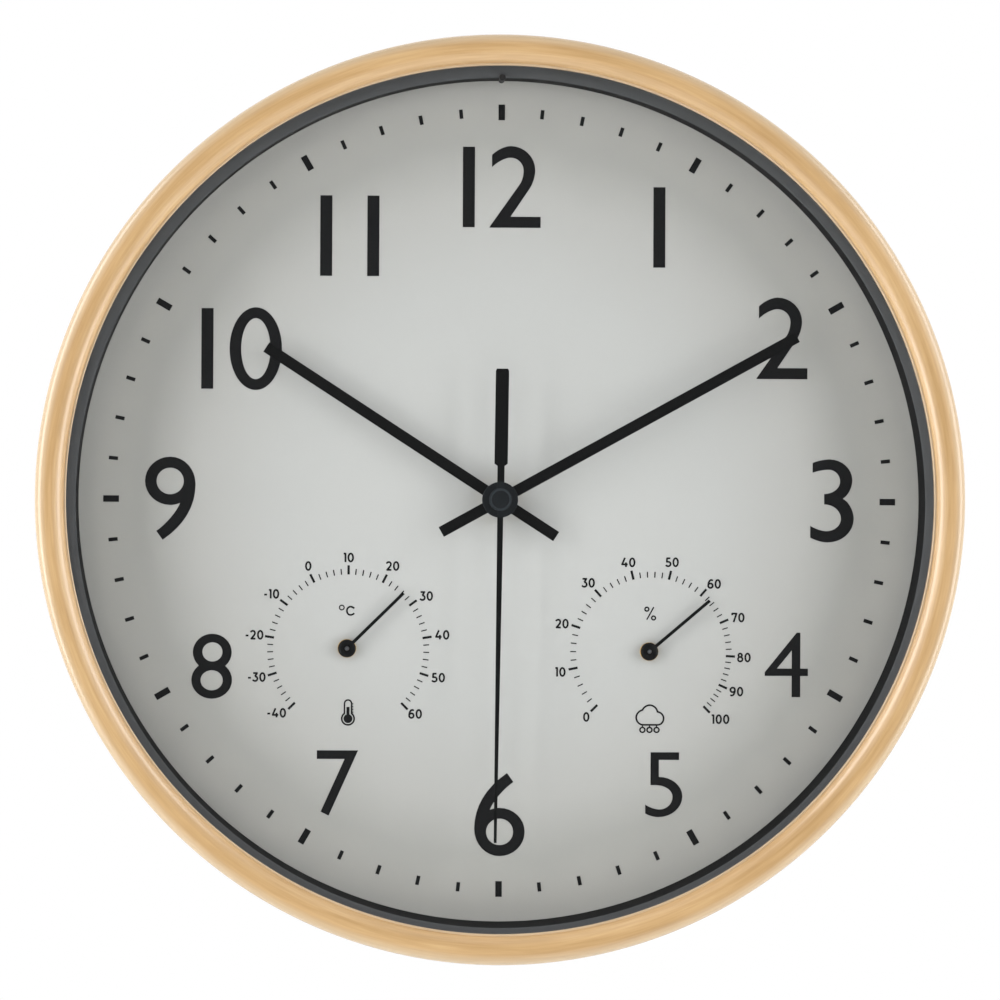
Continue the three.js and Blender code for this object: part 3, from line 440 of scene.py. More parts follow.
# Glass: a flat clear disc with a fine ground edge, dropped in from behind against the lip.
def clear_glass():
    """Thin clear glass: it lets the dial through and mirrors the lamps at a slant."""
    finish = material("clear_glass")
    haze = finish.noise(40, 2)
    slant = finish.node("ShaderNodeLayerWeight", {}, {"Blend": 0.5}, "Facing")
    mirror = 0.02 + 0.9 * slant ** 5
    clear = finish.node("ShaderNodeBsdfTransparent", {}, {"Color": paint(254, 254, 254)})
    gloss = finish.node("ShaderNodeBsdfGlossy", {}, {"Roughness": 0.02 + haze * 0.02})
    both = finish.node("ShaderNodeMixShader", {}, {0: mirror, 1: clear, 2: gloss})
    finish.node("ShaderNodeOutputMaterial", {}, {"Surface": both})
    return finish.owner


glass_rear, glass_front = depths("glass_lens")
glass_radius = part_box("glass_lens")[1].x
ground_edge = 0.0003
glass = bmesh.new()
turn(glass, [
    (0, glass_rear),
    (glass_radius - ground_edge, glass_rear),
    (glass_radius, glass_rear + ground_edge),
    (glass_radius, glass_front - ground_edge),
    (glass_radius - ground_edge, glass_front),
    (0, glass_front),
], 240)
add_piece("glass_disc", glass, clear_glass(), "case", "clear_glass", "glass_lens")


# Spacer ring: a dark moulded ring that stands on the dial and keeps the glass off the hands. A sloping
# facet faces the viewer, and one locating pip stands at the top.
def moulded_plastic(name, colour, shift, roughness, grit, depth):
    """Moulded plastic: a fine eroded grain, with a faint change of tone over the piece."""
    finish = material(name)
    grain = finish.noise(grit, 4, 0.6)
    flow = finish.noise(grit / 60, 2)
    dark = paint(*(level - shift for level in colour))
    light = paint(*(level + shift for level in colour))
    tone = finish.ramp(flow * 0.7 + grain * 0.3, (0.3, dark), (0.7, light))
    normal = relief(grain, 0.3, depth)
    return surface(finish, Base_Color=tone, Roughness=roughness + grain * 0.1, Normal=normal)


ring_rear, ring_front = depths("inner_ring")
ring_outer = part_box("inner_ring")[1].x
facet_land = 0.0009
facet_width = 0.0029
facet_drop = 0.0014
wall_lean = 0.0008
ring_wall = 0.0012
edge_round = 0.0003
facet_inner = ring_outer - facet_land - facet_width
ring_inner = facet_inner - wall_lean
pip_radius = 0.001
pip_round = 0.0002
pip_place = (0.0006, 0.13655)
facet_shift = Vector((0.0003, -0.00096))
foot_shift = 0.00028
facet_rear = wall - ring_front + facet_drop * 2
spacer = bmesh.new()
turn(spacer, traced([
    (ring_outer, ring_front),
    (ring_outer - facet_land, ring_front),
    (facet_inner + edge_round, ring_front - facet_drop + edge_round / 2),
    ((facet_inner, ring_front - facet_drop), (facet_inner, ring_front - facet_drop - edge_round)),
    (ring_inner, ring_rear),
    (ring_inner + ring_wall, ring_rear),
    (facet_inner + ring_wall, ring_front - facet_drop - ring_wall / 2),
    (ring_outer, ring_front - ring_wall),
]), 300)
for vert in spacer.verts:
    if vert.co.y > facet_rear:
        vert.co.z -= foot_shift
    elif math.hypot(vert.co.x, vert.co.z) < facet_inner + ring_wall + edge_round:
        vert.co.x += facet_shift.x
        vert.co.z += facet_shift.y
pip = bmesh.new()
turn(pip, traced([
    (0, ring_rear),
    (pip_radius, ring_rear),
    (pip_radius, ring_front - pip_round),
    ((pip_radius, ring_front), (0, ring_front)),
]), 24, pip_place)


def ring_painted_light_and_shade():
    """Black moulding with a fine grain, a little more polished on the wall; the facet is painted a lit grey
    and the wall a shaded near-black.
    """
    finish = material("ring_plastic_lit_and_shaded")
    across, _, height = place_in(finish)
    across -= facet_shift.x
    height -= facet_shift.y
    facet = from_axis(across, height) > facet_inner
    grain = finish.noise(900, 4, 0.6)
    # Painted light and shade: the facet's grey stands in for light falling on it, the wall's near-black for
    # shade.
    tone = finish.ramp(
        facet * 0.7 + grain * 0.3,
        (0.1, paint(7, 8, 10)),
        (0.2, paint(12, 13, 15)),
        (0.8, paint(80, 82, 84)),
        (0.95, paint(86, 88, 90)),
    )
    return surface(
        finish,
        Base_Color=tone,
        Roughness=0.45 + facet * 0.1 + grain * 0.1,
        Normal=relief(grain, 0.3, 0.00004),
        Specular_IOR_Level=0.03,
    )


add_piece("spacer_ring", spacer, ring_painted_light_and_shade(), "case", "ring_black", "inner_ring", sharp=25)
pip_plastic = moulded_plastic("pip_plastic", (14, 15, 17), 2, 0.6, 900, 0.00002)
add_piece("spacer_pip", pip, pip_plastic, "case", "ring_black", sharp=25)


# Dial: a stamped sheet under a matt light grey paint, with painted shade that deepens towards the rim.
def dress(finish, *names):
    """Gives nodes of the frame their finish."""
    for name in names:
        for material_slot in cad_nodes[name].material_slots:
            material_slot.material = finish


def dial_paint_and_shade():
    """Matt light grey with a fine speckle, and painted shade that deepens towards the rim, then lifts again
    at the edge.
    """
    finish = material("dial_paint_and_shade")
    tone_reach = 0.14
    across, _, height = place_in(finish)
    radius = from_axis(across, height)
    speckle = finish.noise(2500, 2)
    mottle = finish.noise(14, 2)
    painted_shade_and_mottle = radius / tone_reach + (mottle - 0.5) * 0.06 + (speckle - 0.5) * 0.03
    # Painted shade: darker towards the rim, where the ring's shadow falls, and a painted lift right at the
    # rim that offsets the real shadow there.
    colour = finish.ramp(
        painted_shade_and_mottle,
        (0.0, paint(201, 203, 201)),
        (0.5, paint(191, 193, 191)),
        (0.7, paint(184, 185, 182)),
        (0.83, paint(172, 173, 169)),
        (1.0, paint(192, 192, 187)),
    )
    normal = relief(speckle, 0.1, 0.00003)
    return surface(finish, Base_Color=colour, Roughness=0.62 + speckle * 0.1, Normal=normal)


dial_front = depths("dial_plate")[1]
dress(dial_paint_and_shade(), "dial_plate")


# Printing on the dial: black ink, screened on in one pass. Hour and minute bars, the hour numerals,
# and the two small scales with their figures, units and signs. Its outlines are in millimetres.
MM = 0.001
ink_lift = 0.00001
ink_thickness = 0.00004
print_turn = 0.24
print_shift = (0.2, -0.12)
ink_rear = dial_front + ink_lift
ink_front = ink_rear + ink_thickness


def leftward(outline):
    """The outline in anticlockwise order."""
    points = [Vector(point) for point in outline]
    area = sum(a.cross(b) for a, b in zip(points, points[1:] + points[:1]))
    return points if area > 0 else points[::-1]


def sheet(shape, solids, holes, rear, front):
    """Adds a flat body between two depths: the union of the solid outlines, less the holes."""
    weld = 1e-8
    outlines = [leftward(outline) for outline in (*solids, *holes)]
    points = [point for outline in outlines for point in outline]
    faces = []
    for outline in outlines:
        start = faces[-1][-1] + 1 if faces else 0
        faces.append(list(range(start, start + len(outline))))
    corners, _, triangles, _, _, origins = delaunay_2d_cdt(points, [], faces, 1, weld, True)
    kept = [
        triangle
        for triangle, origin in zip(triangles, origins)
        if origin and max(origin) < len(solids)
    ]
    fronts = [shape.verts.new((x, wall - front, z)) for x, z in corners]
    rears = [shape.verts.new((x, wall - rear, z)) for x, z in corners]
    edges = set()
    for triangle in kept:
        shape.faces.new([fronts[corner] for corner in triangle])
        shape.faces.new([rears[corner] for corner in reversed(triangle)])
        edges.update(zip(triangle, [*triangle[1:], triangle[0]]))
    for start, end in edges:
        if (end, start) not in edges:
            shape.faces.new((fronts[end], fronts[start], rears[start], rears[end]))
    for vert in [vert for vert in shape.verts if not vert.link_faces]:
        shape.verts.remove(vert)


def oval(centre, width, height, steps=32):
    """Closed oval outline, from its centre and its two radii."""
    return [
        Vector((centre[0] + width * math.sin(angle), centre[1] + height * math.cos(angle)))
        for angle in (step / steps * math.tau for step in range(steps))
    ]


def moved(outline, x=0.0, z=0.0, clockwise=0.0, scale=1.0):
    """An outline scaled, turned clockwise in degrees, then moved."""
    turned = Matrix.Rotation(math.radians(-clockwise), 2)
    return [turned @ (Vector(point) * scale) + Vector((x, z)) for point in outline]


def bar(width, low, high):
    """Upright bar outline, centred across."""
    half = width / 2
    return [(-half, low), (half, low), (half, high), (-half, high)]


def line(path, width, closed=False):
    """Outlines of a drawn line: a box for each leg and a disc at each bend."""
    points = traced(path, 6)
    legs = list(zip(points, points[1:] + points[:1] if closed else points[1:]))
    outlines = []
    for start, end in legs:
        side = (end - start).orthogonal().normalized() * width / 2
        outlines.append([start + side, end + side, end - side, start - side])
    joints = points if closed else points[1:-1]
    return outlines + [oval(point, width / 2, width / 2, 12) for point in joints]


two = traced([
    (8.2, -13.3),
    (8.2, -9.7),
    (-1.6, -9.7),
    (4.6, -0.5),
    ((6.4, 2.2), (6.4, 5.4)),
    ((6.4, 13.3), (-1.6, 13.3)),
    ((-4.9, 13.3), (-7.7, 10.4)),
    (-7.7, 6.4),
    ((-4.6, 9.5), (-1.7, 9.5)),
    ((2.6, 9.5), (2.6, 5.3)),
    ((2.6, 2.6), (1.4, 0.9)),
    (-8.4, -13.0),
    (-8.4, -13.3),
])
three = traced([
    (-6.4, 12.4),
    ((-3.6, 13.6), (-0.9, 13.6)),
    ((6.6, 13.6), (6.6, 6.8)),
    ((6.6, 2.6), (3.5, 0.8)),
    ((7.1, -1.0), (7.1, -5.8)),
    ((7.1, -13.5), (-1.5, -13.5)),
    ((-4.6, -13.5), (-7.1, -11.9)),
    (-7.1, -8.1),
    ((-4.4, -9.8), (-1.9, -9.8)),
    ((2.9, -9.8), (2.9, -5.8)),
    ((2.9, -1.1), (-2.6, -1.1)),
    (-2.6, 2.3),
    ((2.6, 2.3), (2.6, 6.4)),
    ((2.6, 10.2), (-1.2, 10.2)),
    ((-3.7, 10.2), (-6.4, 9.2)),
])
four = [
    (4.5, 10.6),
    (3.3, 10.6),
    (-7.1, -2.3),
    (-7.1, -3.5),
    (1.7, -3.5),
    (1.7, -10.4),
    (4.5, -10.4),
    (4.5, -3.5),
    (7.0, -3.5),
    (7.0, -1.1),
    (4.5, -1.1),
]
four_eye = [(1.7, 4.8), (-3.1, -1.1), (1.7, -1.1)]
five = traced([
    (4.9, 10.6),
    (4.9, 8.1),
    (-1.7, 8.1),
    (-1.7, 2.6),
    ((6.0, 2.6), (6.0, -3.7)),
    ((6.0, -10.5), (-1.9, -10.5)),
    ((-4.3, -10.5), (-6.1, -9.3)),
    (-6.1, -6.4),
    ((-3.9, -8.0), (-1.5, -8.0)),
    ((2.8, -8.0), (2.8, -3.9)),
    ((2.8, -0.1), (-2.6, -0.1)),
    (-4.4, -0.1),
    (-4.4, 10.6),
])
six = traced([
    (2.3, 13.5),
    (4.4, 10.6),
    ((-1.3, 6.7), (-3.3, 1.5)),
    ((-1.9, 2.2), (-0.1, 2.2)),
    ((8.1, 2.2), (8.1, -5.6)),
    ((8.1, -13.5), (-0.1, -13.5)),
    ((-8.3, -13.5), (-8.3, -4.6)),
    ((-8.3, 6.2), (2.3, 13.5), 0.66),
])
six_eye = oval((-0.05, -5.6), 4.4, 4.3)
seven = [(6.8, 10.6), (-6.6, 10.6), (-6.6, 7.8), (2.4, 7.8), (-5.3, -9.3), (-2.7, -10.6)]
eight = [oval((0.15, 4.6), 6.3, 6.0), oval((0.0, -4.4), 6.6, 6.1)]
eight_eyes = [oval((0.2, 4.7), 3.25, 3.1), oval((0.0, -4.5), 3.6, 3.25)]
nought = [oval((0, 0), 8.5, 13.45, 48)]
nought_eye = [oval((0, 0), 4.75, 9.9, 48)]
one = bar(3.9, -13.1, 13.1)

numerals = [
    ([one], [], -10.6, 101.9),
    ([two], [], 4.6, 102.0),
    ([one], [], 51.5, 89.1),
    ([two], [], 91.8, 53.2),
    ([three], [], 108.2, 0.25),
    ([four], [four_eye], 93.5, -53.25),
    ([five], [], 53.7, -92.3),
    ([six], [six_eye], 0.3, -102.1),
    ([seven], [], -52.6, -92.0),
    (eight, eight_eyes, -93.4, -54.3),
    ([moved(six, clockwise=180)], [moved(six_eye, clockwise=180)], -107.2, 0.2),
    ([one], [], -95.3, 48.9),
    (nought, nought_eye, -79.6, 48.9),
    ([one], [], -56.9, 85.8),
    ([one], [], -41.6, 85.8),
]


def printed(outlines, x, z):
    """Outlines in millimetres, as they lie on the dial: the whole print sits a hair clockwise."""
    placed = (moved(outline, x, z) for outline in outlines)
    return [moved(moved(outline, *print_shift, print_turn), scale=MM) for outline in placed]


def print_on(shape, solids, holes=(), x=0.0, z=0.0):
    """Adds the film of ink that outlines about a place leave on the dial, less the holes."""
    sheet(shape, printed(solids, x, z), printed(holes, x, z), ink_rear, ink_front)


def ink():
    """Matt black screen ink."""
    finish = material("dial_ink")
    film = finish.noise(1800, 2)
    colour = finish.ramp(film, (0.35, paint(11, 12, 14)), (0.65, paint(18, 19, 21)))
    return surface(finish, Base_Color=colour, Roughness=0.6 + film * 0.1, Specular_IOR_Level=0.15)


dial_ink = ink()
hour_numerals = bmesh.new()
for solids, holes, x, z in numerals:
    print_on(hour_numerals, solids, holes, x, z)
add_piece("hour_numerals", hour_numerals, dial_ink, "case", "hand_black")

track_radius = 126.25
minute_bar = (1.2, 3.0)
hour_bar = (2.1, 5.1)
minute_track = bmesh.new()
for minute in range(60):
    width, length = minute_bar if minute % 5 else hour_bar
    mark = moved(bar(width, track_radius - length / 2, track_radius + length / 2), clockwise=minute * 6)
    print_on(minute_track, [mark])
add_piece("minute_track", minute_track, dial_ink, "case", "hand_black")

figure_height = 3.0
figure_stroke = 0.2
figure_gap = 0.17
low_bowl = [(0.07, 0.31), ((0.07, 0.07), (0.31, 0.07)), ((0.56, 0.07), (0.56, 0.31)),
            ((0.56, 0.56), (0.31, 0.56)), ((0.07, 0.56), (0.07, 0.31))]
high_bowl = [(0.12, 0.74), ((0.12, 0.55), (0.31, 0.55)), ((0.5, 0.55), (0.5, 0.74)),
             ((0.5, 0.93), (0.31, 0.93)), ((0.12, 0.93), (0.12, 0.74))]
small_figures = {
    "0": (0.64, [[(0.07, 0.5), ((0.07, 0.93), (0.32, 0.93)), ((0.57, 0.93), (0.57, 0.5)),
                  ((0.57, 0.07), (0.32, 0.07)), ((0.07, 0.07), (0.07, 0.5))]]),
    "1": (0.28, [[(0.0, 0.93), (0.2, 0.93), (0.2, 0.0)]]),
    "2": (0.58, [[(0.04, 0.8), ((0.14, 0.93), (0.28, 0.93)), ((0.5, 0.93), (0.5, 0.68)),
                  ((0.5, 0.56), (0.38, 0.42)), (0.1, 0.08), (0.56, 0.08)]]),
    "3": (0.56, [[(0.05, 0.93), (0.47, 0.93), (0.25, 0.57)],
                 [(0.25, 0.57), ((0.51, 0.57), (0.51, 0.32)), ((0.51, 0.07), (0.26, 0.07)),
                  ((0.12, 0.07), (0.02, 0.17))]]),
    "4": (0.68, [[(0.38, 1.0), (0.07, 0.28), (0.68, 0.28)], [(0.49, 0.5), (0.49, 0.0)]]),
    "5": (0.58, [[(0.5, 0.93), (0.14, 0.93), (0.11, 0.55), (0.27, 0.55)],
                 [(0.27, 0.55), ((0.52, 0.55), (0.52, 0.31)), ((0.52, 0.07), (0.26, 0.07)),
                  ((0.12, 0.07), (0.02, 0.17))]]),
    "6": (0.62, [low_bowl, [(0.07, 0.31), ((0.07, 0.93), (0.4, 0.93)), ((0.46, 0.93), (0.53, 0.89))]]),
    "7": (0.58, [[(0.07, 0.75), (0.07, 0.93), (0.54, 0.93), (0.22, 0.0)]]),
    "8": (0.62, [low_bowl, high_bowl]),
    "-": (0.36, [[(0.02, 0.42), (0.34, 0.42)]]),
}
nine = [moved(traced(stroke, 6), 0.62, 1.0, 180) for stroke in small_figures["6"][1]]
small_figures["9"] = (0.62, [[tuple(point) for point in stroke] for stroke in nine])


def figures(text, x, z):
    """Outlines of a small number, centred on a place."""
    strokes = []
    pen = 0.0
    for figure in text:
        width, paths = small_figures[figure]
        for path in paths:
            strokes += [moved(stroke, pen, -0.5) for stroke in line(path, figure_stroke)]
        pen += width + figure_gap
    reach = (pen - figure_gap) / 2
    return [moved(moved(stroke, -reach), x, z, scale=figure_height) for stroke in strokes]


tick_inner = 24.4
major_tick = (0.76, 27.4)
minor_tick = (0.36, 26.3)
ticks_between = 5


def scale_marks(angles):
    """Ticks at the given angles, and finer ones that part the stretch between each two in five."""
    marks = []
    for start, end in zip(angles, angles[1:]):
        for step in range(ticks_between):
            width, outer = minor_tick if step else major_tick
            angle = start + (end - start) * step / ticks_between
            marks.append(moved(bar(width, tick_inner, outer), clockwise=angle))
    width, outer = major_tick
    return marks + [moved(bar(width, tick_inner, outer), clockwise=angles[-1])]


def ring_line(centre, radius, width):
    """Outline and eye of a small printed ring."""
    outer, inner = radius + width / 2, radius - width / 2
    return oval(centre, outer, outer), oval(centre, inner, inner)


def print_scale(name, centre, angles, numbers, signs, sign_eyes):
    """Prints one small scale: its ticks, its numbers, its unit and its sign."""
    scale = bmesh.new()
    for mark in scale_marks(angles):
        print_on(scale, [mark], [], *centre)
    for text, (across, up) in numbers:
        print_on(scale, figures(text, across, up), [], *centre)
    print_on(scale, signs, sign_eyes, *centre)
    add_piece(name, scale, dial_ink, "case", "hand_black")


thermometer_centre = (-49.15, -48.7)
degree_ring, degree_eye = ring_line((-2.15, 13.65), 0.75, 0.4)
celsius = line([(1.9, 13.4), ((1.3, 13.95), (0.7, 13.95)), ((-0.5, 13.95), (-0.5, 12.6)),
                ((-0.5, 11.25), (0.7, 11.25)), ((1.3, 11.25), (1.9, 11.8))], 0.58)
bulb_height = -22.4
bulb_ring = oval((0, bulb_height), 2.3, 2.3)
bulb_eye = oval((0, bulb_height), 1.75, 1.75)
tube_shell = traced([(1.4, bulb_height + 1.4), (1.4, -17.5), ((1.4, -16.1), (0.0, -16.1)),
                     ((-1.4, -16.1), (-1.4, -17.5)), (-1.4, bulb_height + 1.4)])
tube_eye = traced([(0.9, bulb_height + 1.2), (0.9, -17.5), ((0.9, -16.6), (0.0, -16.6)),
                   ((-0.9, -16.6), (-0.9, -17.5)), (-0.9, bulb_height + 1.2)])
notches = [moved(bar(0.4, 0, 0.45), 1.3, height, 90) for height in (-17.6, -18.5, -19.4, -20.3)]
print_scale(
    "thermometer_scale",
    thermometer_centre,
    [-135 + step * 27 for step in range(11)],
    [("-40", (-23.2, -20.6)), ("-30", (-29.7, -9.0)), ("-20", (-30.5, 4.7)), ("-10", (-25.0, 18.0)),
     ("0", (-13.1, 27.1)), ("10", (0.0, 29.9)), ("20", (14.3, 27.2)), ("30", (25.3, 17.5)),
     ("40", (30.5, 4.9)), ("50", (29.3, -9.0)), ("60", (21.8, -20.8))],
    [degree_ring, *celsius, bulb_ring, tube_shell, *notches],
    [degree_eye, bulb_eye, tube_eye],
)
column = bmesh.new()
column_parts = [oval((0, bulb_height), 1.45, 1.45), bar(1.0, bulb_height, -18.6)]
print_on(column, column_parts, [], *thermometer_centre)
add_piece("thermometer_column", column, dial_ink, "case", "hand_black")

hygrometer_centre = (49.3, -49.3)
percent_rings = [ring_line(centre, 0.62, 0.48) for centre in ((-1.4, 14.1), (0.8, 11.25))]
slash = line([(0.85, 14.8), (-1.4, 10.7)], 0.42)
cloud = line([
    (-2.5, -23.5),
    ((-4.75, -23.5), (-4.75, -21.1)),
    ((-4.75, -19.1), (-2.7, -18.7)),
    ((-2.1, -17.1), (-0.3, -17.1)),
    ((1.9, -17.1), (2.2, -19.3)),
    ((4.2, -19.4), (4.2, -21.4)),
    ((4.2, -23.5), (2.3, -23.5)),
], 0.56, closed=True)
drop_places = (-2.7, -0.4, 1.9)
drops = [ring_line((across, -25.15), 0.8, 0.52) for across in drop_places]
drop_points = []
for across in drop_places:
    drop_points += line([(across, -24.3), (across, -23.6)], 0.4)
print_scale(
    "hygrometer_scale",
    hygrometer_centre,
    [-134.5, -101.8, -71.1, -42.0, -13.7, 13.6, 41.0, 66.7, 92.5, 115.1, 135.4],
    [("0", (-21.0, -21.0)), ("10", (-29.5, -6.4)), ("20", (-29.0, 9.3)), ("30", (-20.5, 22.6)),
     ("40", (-7.5, 29.3)), ("50", (6.8, 29.4)), ("60", (20.5, 22.4)), ("70", (28.3, 11.5)),
     ("80", (30.3, -1.5)), ("90", (27.9, -12.6)), ("100", (22.7, -21.6))],
    [*(ring for ring, _ in percent_rings), *slash, *cloud, *drop_points, *(ring for ring, _ in drops)],
    [*(eye for _, eye in percent_rings), *(eye for _, eye in drops)],
)


# Hands: black satin enamel on stamped aluminium. Each blade is riveted to a round hub that presses
# on its pipe. The second hand has a long slim needle and a broad counterweight.
def enamel():
    """Black enamel with painted sheen: a touch greyer on the hubs, and a lighter ring on the second hand's
    hub.
    """
    finish = material("hand_enamel")
    across, _, height = place_in(finish)
    radius = from_axis(across, height)
    flow = finish.noise(220, 3)
    colour = finish.ramp(flow, (0.3, paint(6, 7, 8)), (0.7, paint(13, 14, 15)))
    # Painted sheen: the hubs are lifted a touch, and a lighter ring on the second hand's hub stands in for
    # its highlight.
    painted_hub_sheen = (hub_radius > radius) * 0.25 + (radius > sheen_ring_inner) * (sheen_ring_outer > radius) * 0.5
    return surface(
        finish,
        Base_Color=blend(painted_hub_sheen, colour, paint(54, 60, 65)),
        Roughness=0.36 + flow * 0.14,
        Normal=relief(flow, 0.12, 0.00003),
        Specular_IOR_Level=0.12,
    )


def ease_edges(piece, width):
    """Rounds the edges of a piece with a narrow bevel."""
    ease = piece.modifiers.new("eased_edges", "BEVEL")
    ease.width = width
    ease.segments = 2
    ease.limit_method = "ANGLE"
    ease.angle_limit = math.radians(40)
    ease.harden_normals = True


def flat_panels(shape):
    """Joins the triangles of each flat face into one panel, so that a bevel follows the outline."""
    bmesh.ops.dissolve_limit(shape, angle_limit=math.radians(1), verts=shape.verts, edges=shape.edges)


def tapered(root, tip, length):
    """Outline of a needle that stands upright on its pivot."""
    return [(-root / 2, 0), (root / 2, 0), (tip / 2, length), (-tip / 2, length)]


def blade(shape, outlines, bore, node, clockwise, pivot=(0, 0)):
    """Adds the stamped blade of a hand, holed for its pipe, in the middle of the hub's height."""
    middle = sum(depths(node)) / 2
    turned = [moved(outline, *pivot, clockwise) for outline in outlines]
    sheet(shape, turned, [oval(pivot, bore, bore)], middle - hand_sheet / 2, middle + hand_sheet / 2)
    flat_panels(shape)


def bar_hand(node, body, length, pipe, clockwise):
    """Adds the hour or the minute hand: a bar with square ends on a round hub."""
    width = 0.0036
    tail = 0.0218
    bore = pipe + pipe_gap
    rear, front = depths(node)
    hand = bmesh.new()
    blade(hand, [bar(width, -tail, length)], bore, node, clockwise)
    turn(hand, traced([
        (bore, rear),
        (hub_radius - hub_round, rear),
        ((hub_radius, rear), (hub_radius, rear + hub_round)),
        (hub_radius, front - hub_round),
        ((hub_radius, front), (hub_radius - hub_round, front)),
        (bore, front),
    ], 4), 64)
    ease_edges(add_piece(node + "_blade", hand, hand_black, body, "hand_black", node), edge_ease)


hub_radius = 0.0058
hub_round = 0.00025
# The ring of painted sheen on the second hand's hub lies between these two radii.
sheen_ring_inner = 0.00285
sheen_ring_outer = 0.0036
hand_sheet = 0.0004
edge_ease = 0.00008
pipe_gap = 0.00015
hand_black = enamel()
bar_hand("hour_hand", "hour_motion", length=0.0905, pipe=0.0025, clockwise=303.15)
bar_hand("minute_hand", "minute_motion", length=0.11, pipe=0.0015, clockwise=61.3)

second_length = 0.111
needle_root = 0.002
needle_tip = 0.00095
neck = 0.0023
weight_width = 0.0043
weight_start = 0.0109
weight_end = 0.0424
weight_chamfer = 0.0007
second_hub = 0.0037
hub_groove = 0.00012
hub_ring = 0.0004
arbor_bore = 0.00065
second_angle = 180.9
second_rear, second_front = depths("second_hand")
weight_half = [
    (neck / 2, 0),
    (neck / 2, -weight_start),
    (weight_width / 2, -weight_start - weight_chamfer),
    (weight_width / 2, weight_chamfer - weight_end),
    (weight_width / 2 - weight_chamfer / 2, -weight_end),
]
weight = weight_half + [(-x, z) for x, z in reversed(weight_half)]
needle = tapered(needle_root, needle_tip, second_length)
second = bmesh.new()
blade(second, [weight, needle], arbor_bore, "second_hand", second_angle)
ring_out = second_hub - hub_ring
ring_in = ring_out - hub_ring
second_face = second_front - hub_groove
turn(second, traced([
    (0, second_rear + hub_ring),
    (arbor_bore, second_rear + hub_ring),
    (arbor_bore, second_rear),
    (second_hub, second_rear),
    (second_hub, second_face - hub_groove),
    ((second_hub, second_face), (second_hub - hub_groove, second_face)),
    (ring_out, second_face),
    ((ring_out, second_front), ((ring_out + ring_in) / 2, second_front)),
    ((ring_in, second_front), (ring_in, second_face)),
    (0, second_face),
], 5), 64)
second_piece = add_piece(
    "second_hand_needle", second, hand_black, "second_motion", "hand_black", "second_hand"
)
ease_edges(second_piece, edge_ease)


# Small instruments: black pointers pressed on steel arbors that turn in brass bushings, each with a
# coil of bimetal or treated strip behind the dial, in a vented housing.
def turned_metal(name, colour, roughness, scale):
    """Machined or plated metal: fine tool marks and a slight change of tone."""
    finish = material(name)
    marks = finish.noise(scale, 3, 0.6)
    tarnish = finish.noise(scale / 12, 2)
    dark = paint(*(level * 0.86 for level in colour))
    return surface(
        finish,
        Base_Color=finish.ramp(tarnish * 0.7 + marks * 0.3, (0.3, dark), (0.65, paint(*colour))),
        Metallic=1.0,
        Roughness=roughness + marks * 0.15,
        Normal=relief(marks, 0.15, 0.00004),
    )


def seen_round(node):
    """Centre and radius of a round node, as the viewer sees it."""
    low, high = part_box(node)
    return ((low.x + high.x) / 2, (low.z + high.z) / 2), (high.x - low.x) / 2


plated_steel = turned_metal("plated_steel", (196, 198, 202), 0.22, 700)
bright_brass = turned_metal("bright_brass", (214, 173, 92), 0.24, 700)
bimetal = turned_metal("bimetal_strip", (190, 160, 110), 0.3, 500)
back_plastic = moulded_plastic("back_plastic", (60, 61, 63), 4, 0.5, 800, 0.00008)
arbor_hole = 0.00075


def add_pointer(instrument, pivot, clockwise):
    """Adds the pointer of one instrument: a slim needle on a domed hub."""
    length = 0.0257
    root = 0.0011
    tip = 0.001
    hub = 0.0029
    hub_side = 0.0006
    node = instrument + "_pointer"
    rear, front = depths(node)
    pointer = bmesh.new()
    blade(pointer, [tapered(root, tip, length)], arbor_hole, node, clockwise, pivot)
    turn(pointer, traced([
        (arbor_hole, rear),
        (hub, rear),
        (hub, rear + hub_side),
        ((hub, front), (arbor_hole, front)),
    ]), 48, pivot)
    body = instrument + "_needle"
    ease_edges(add_piece(body, pointer, hand_black, body, "hand_black", node), edge_ease)


def add_bushing(instrument, pivot):
    """Adds the turned brass bushing, whose flange shows round the pointer's hub."""
    barrel = 0.002
    flange = 0.003
    bevel = 0.0002
    flange_rear = dial_front + ink_lift
    node = instrument + "_bushing"
    rear, front = depths(node)
    bushing = bmesh.new()
    turn(bushing, [
        (arbor_hole, rear),
        (barrel, rear),
        (barrel, flange_rear),
        (flange, flange_rear),
        (flange, front - bevel),
        (flange - bevel, front),
        (arbor_hole, front),
    ], 64, pivot)
    add_piece(node + "_turned", bushing, bright_brass, "case", "brass", node)


def add_housing(instrument, pivot):
    """Adds the round housing, with slots in its floor that let the air reach the coil, and the post
    that anchors the coil's outer end."""
    side = 0.0012
    rounding = 0.0008
    floor_inset = 0.0003
    floor_thickness = 0.001
    slots = 8
    slot = bar(0.0022, 0.0065, 0.0135)
    post = 0.001
    post_offset = 0.01395
    node = instrument + "_housing"
    rear, front = depths(node)
    floor_rear = rear + floor_inset
    outer = seen_round(node)[1]
    middle_of_side = outer - side / 2
    holes = [moved(slot, *pivot, clockwise=(index + 0.5) * 360 / slots) for index in range(slots)]
    holes.append(oval(pivot, arbor_hole, arbor_hole))
    shell = bmesh.new()
    floor_disc = oval(pivot, middle_of_side, middle_of_side, 96)
    sheet(shell, [floor_disc], holes, floor_rear, floor_rear + floor_thickness)
    flat_panels(shell)
    turn(shell, traced([
        (outer - side, rear),
        (outer - rounding, rear),
        ((outer, rear), (outer, rear + rounding)),
        (outer, front),
        (outer - side, front),
    ]), 96, pivot)
    turn(shell, [
        (0, rear + floor_thickness),
        (post, rear + floor_thickness),
        (post, front - side),
        (0, front - side),
    ], 16, (pivot[0] + post_offset, pivot[1]))
    piece = add_piece(node + "_shell", shell, back_plastic, "case", "back_plastic", node)
    ease_edges(piece, side / 8)


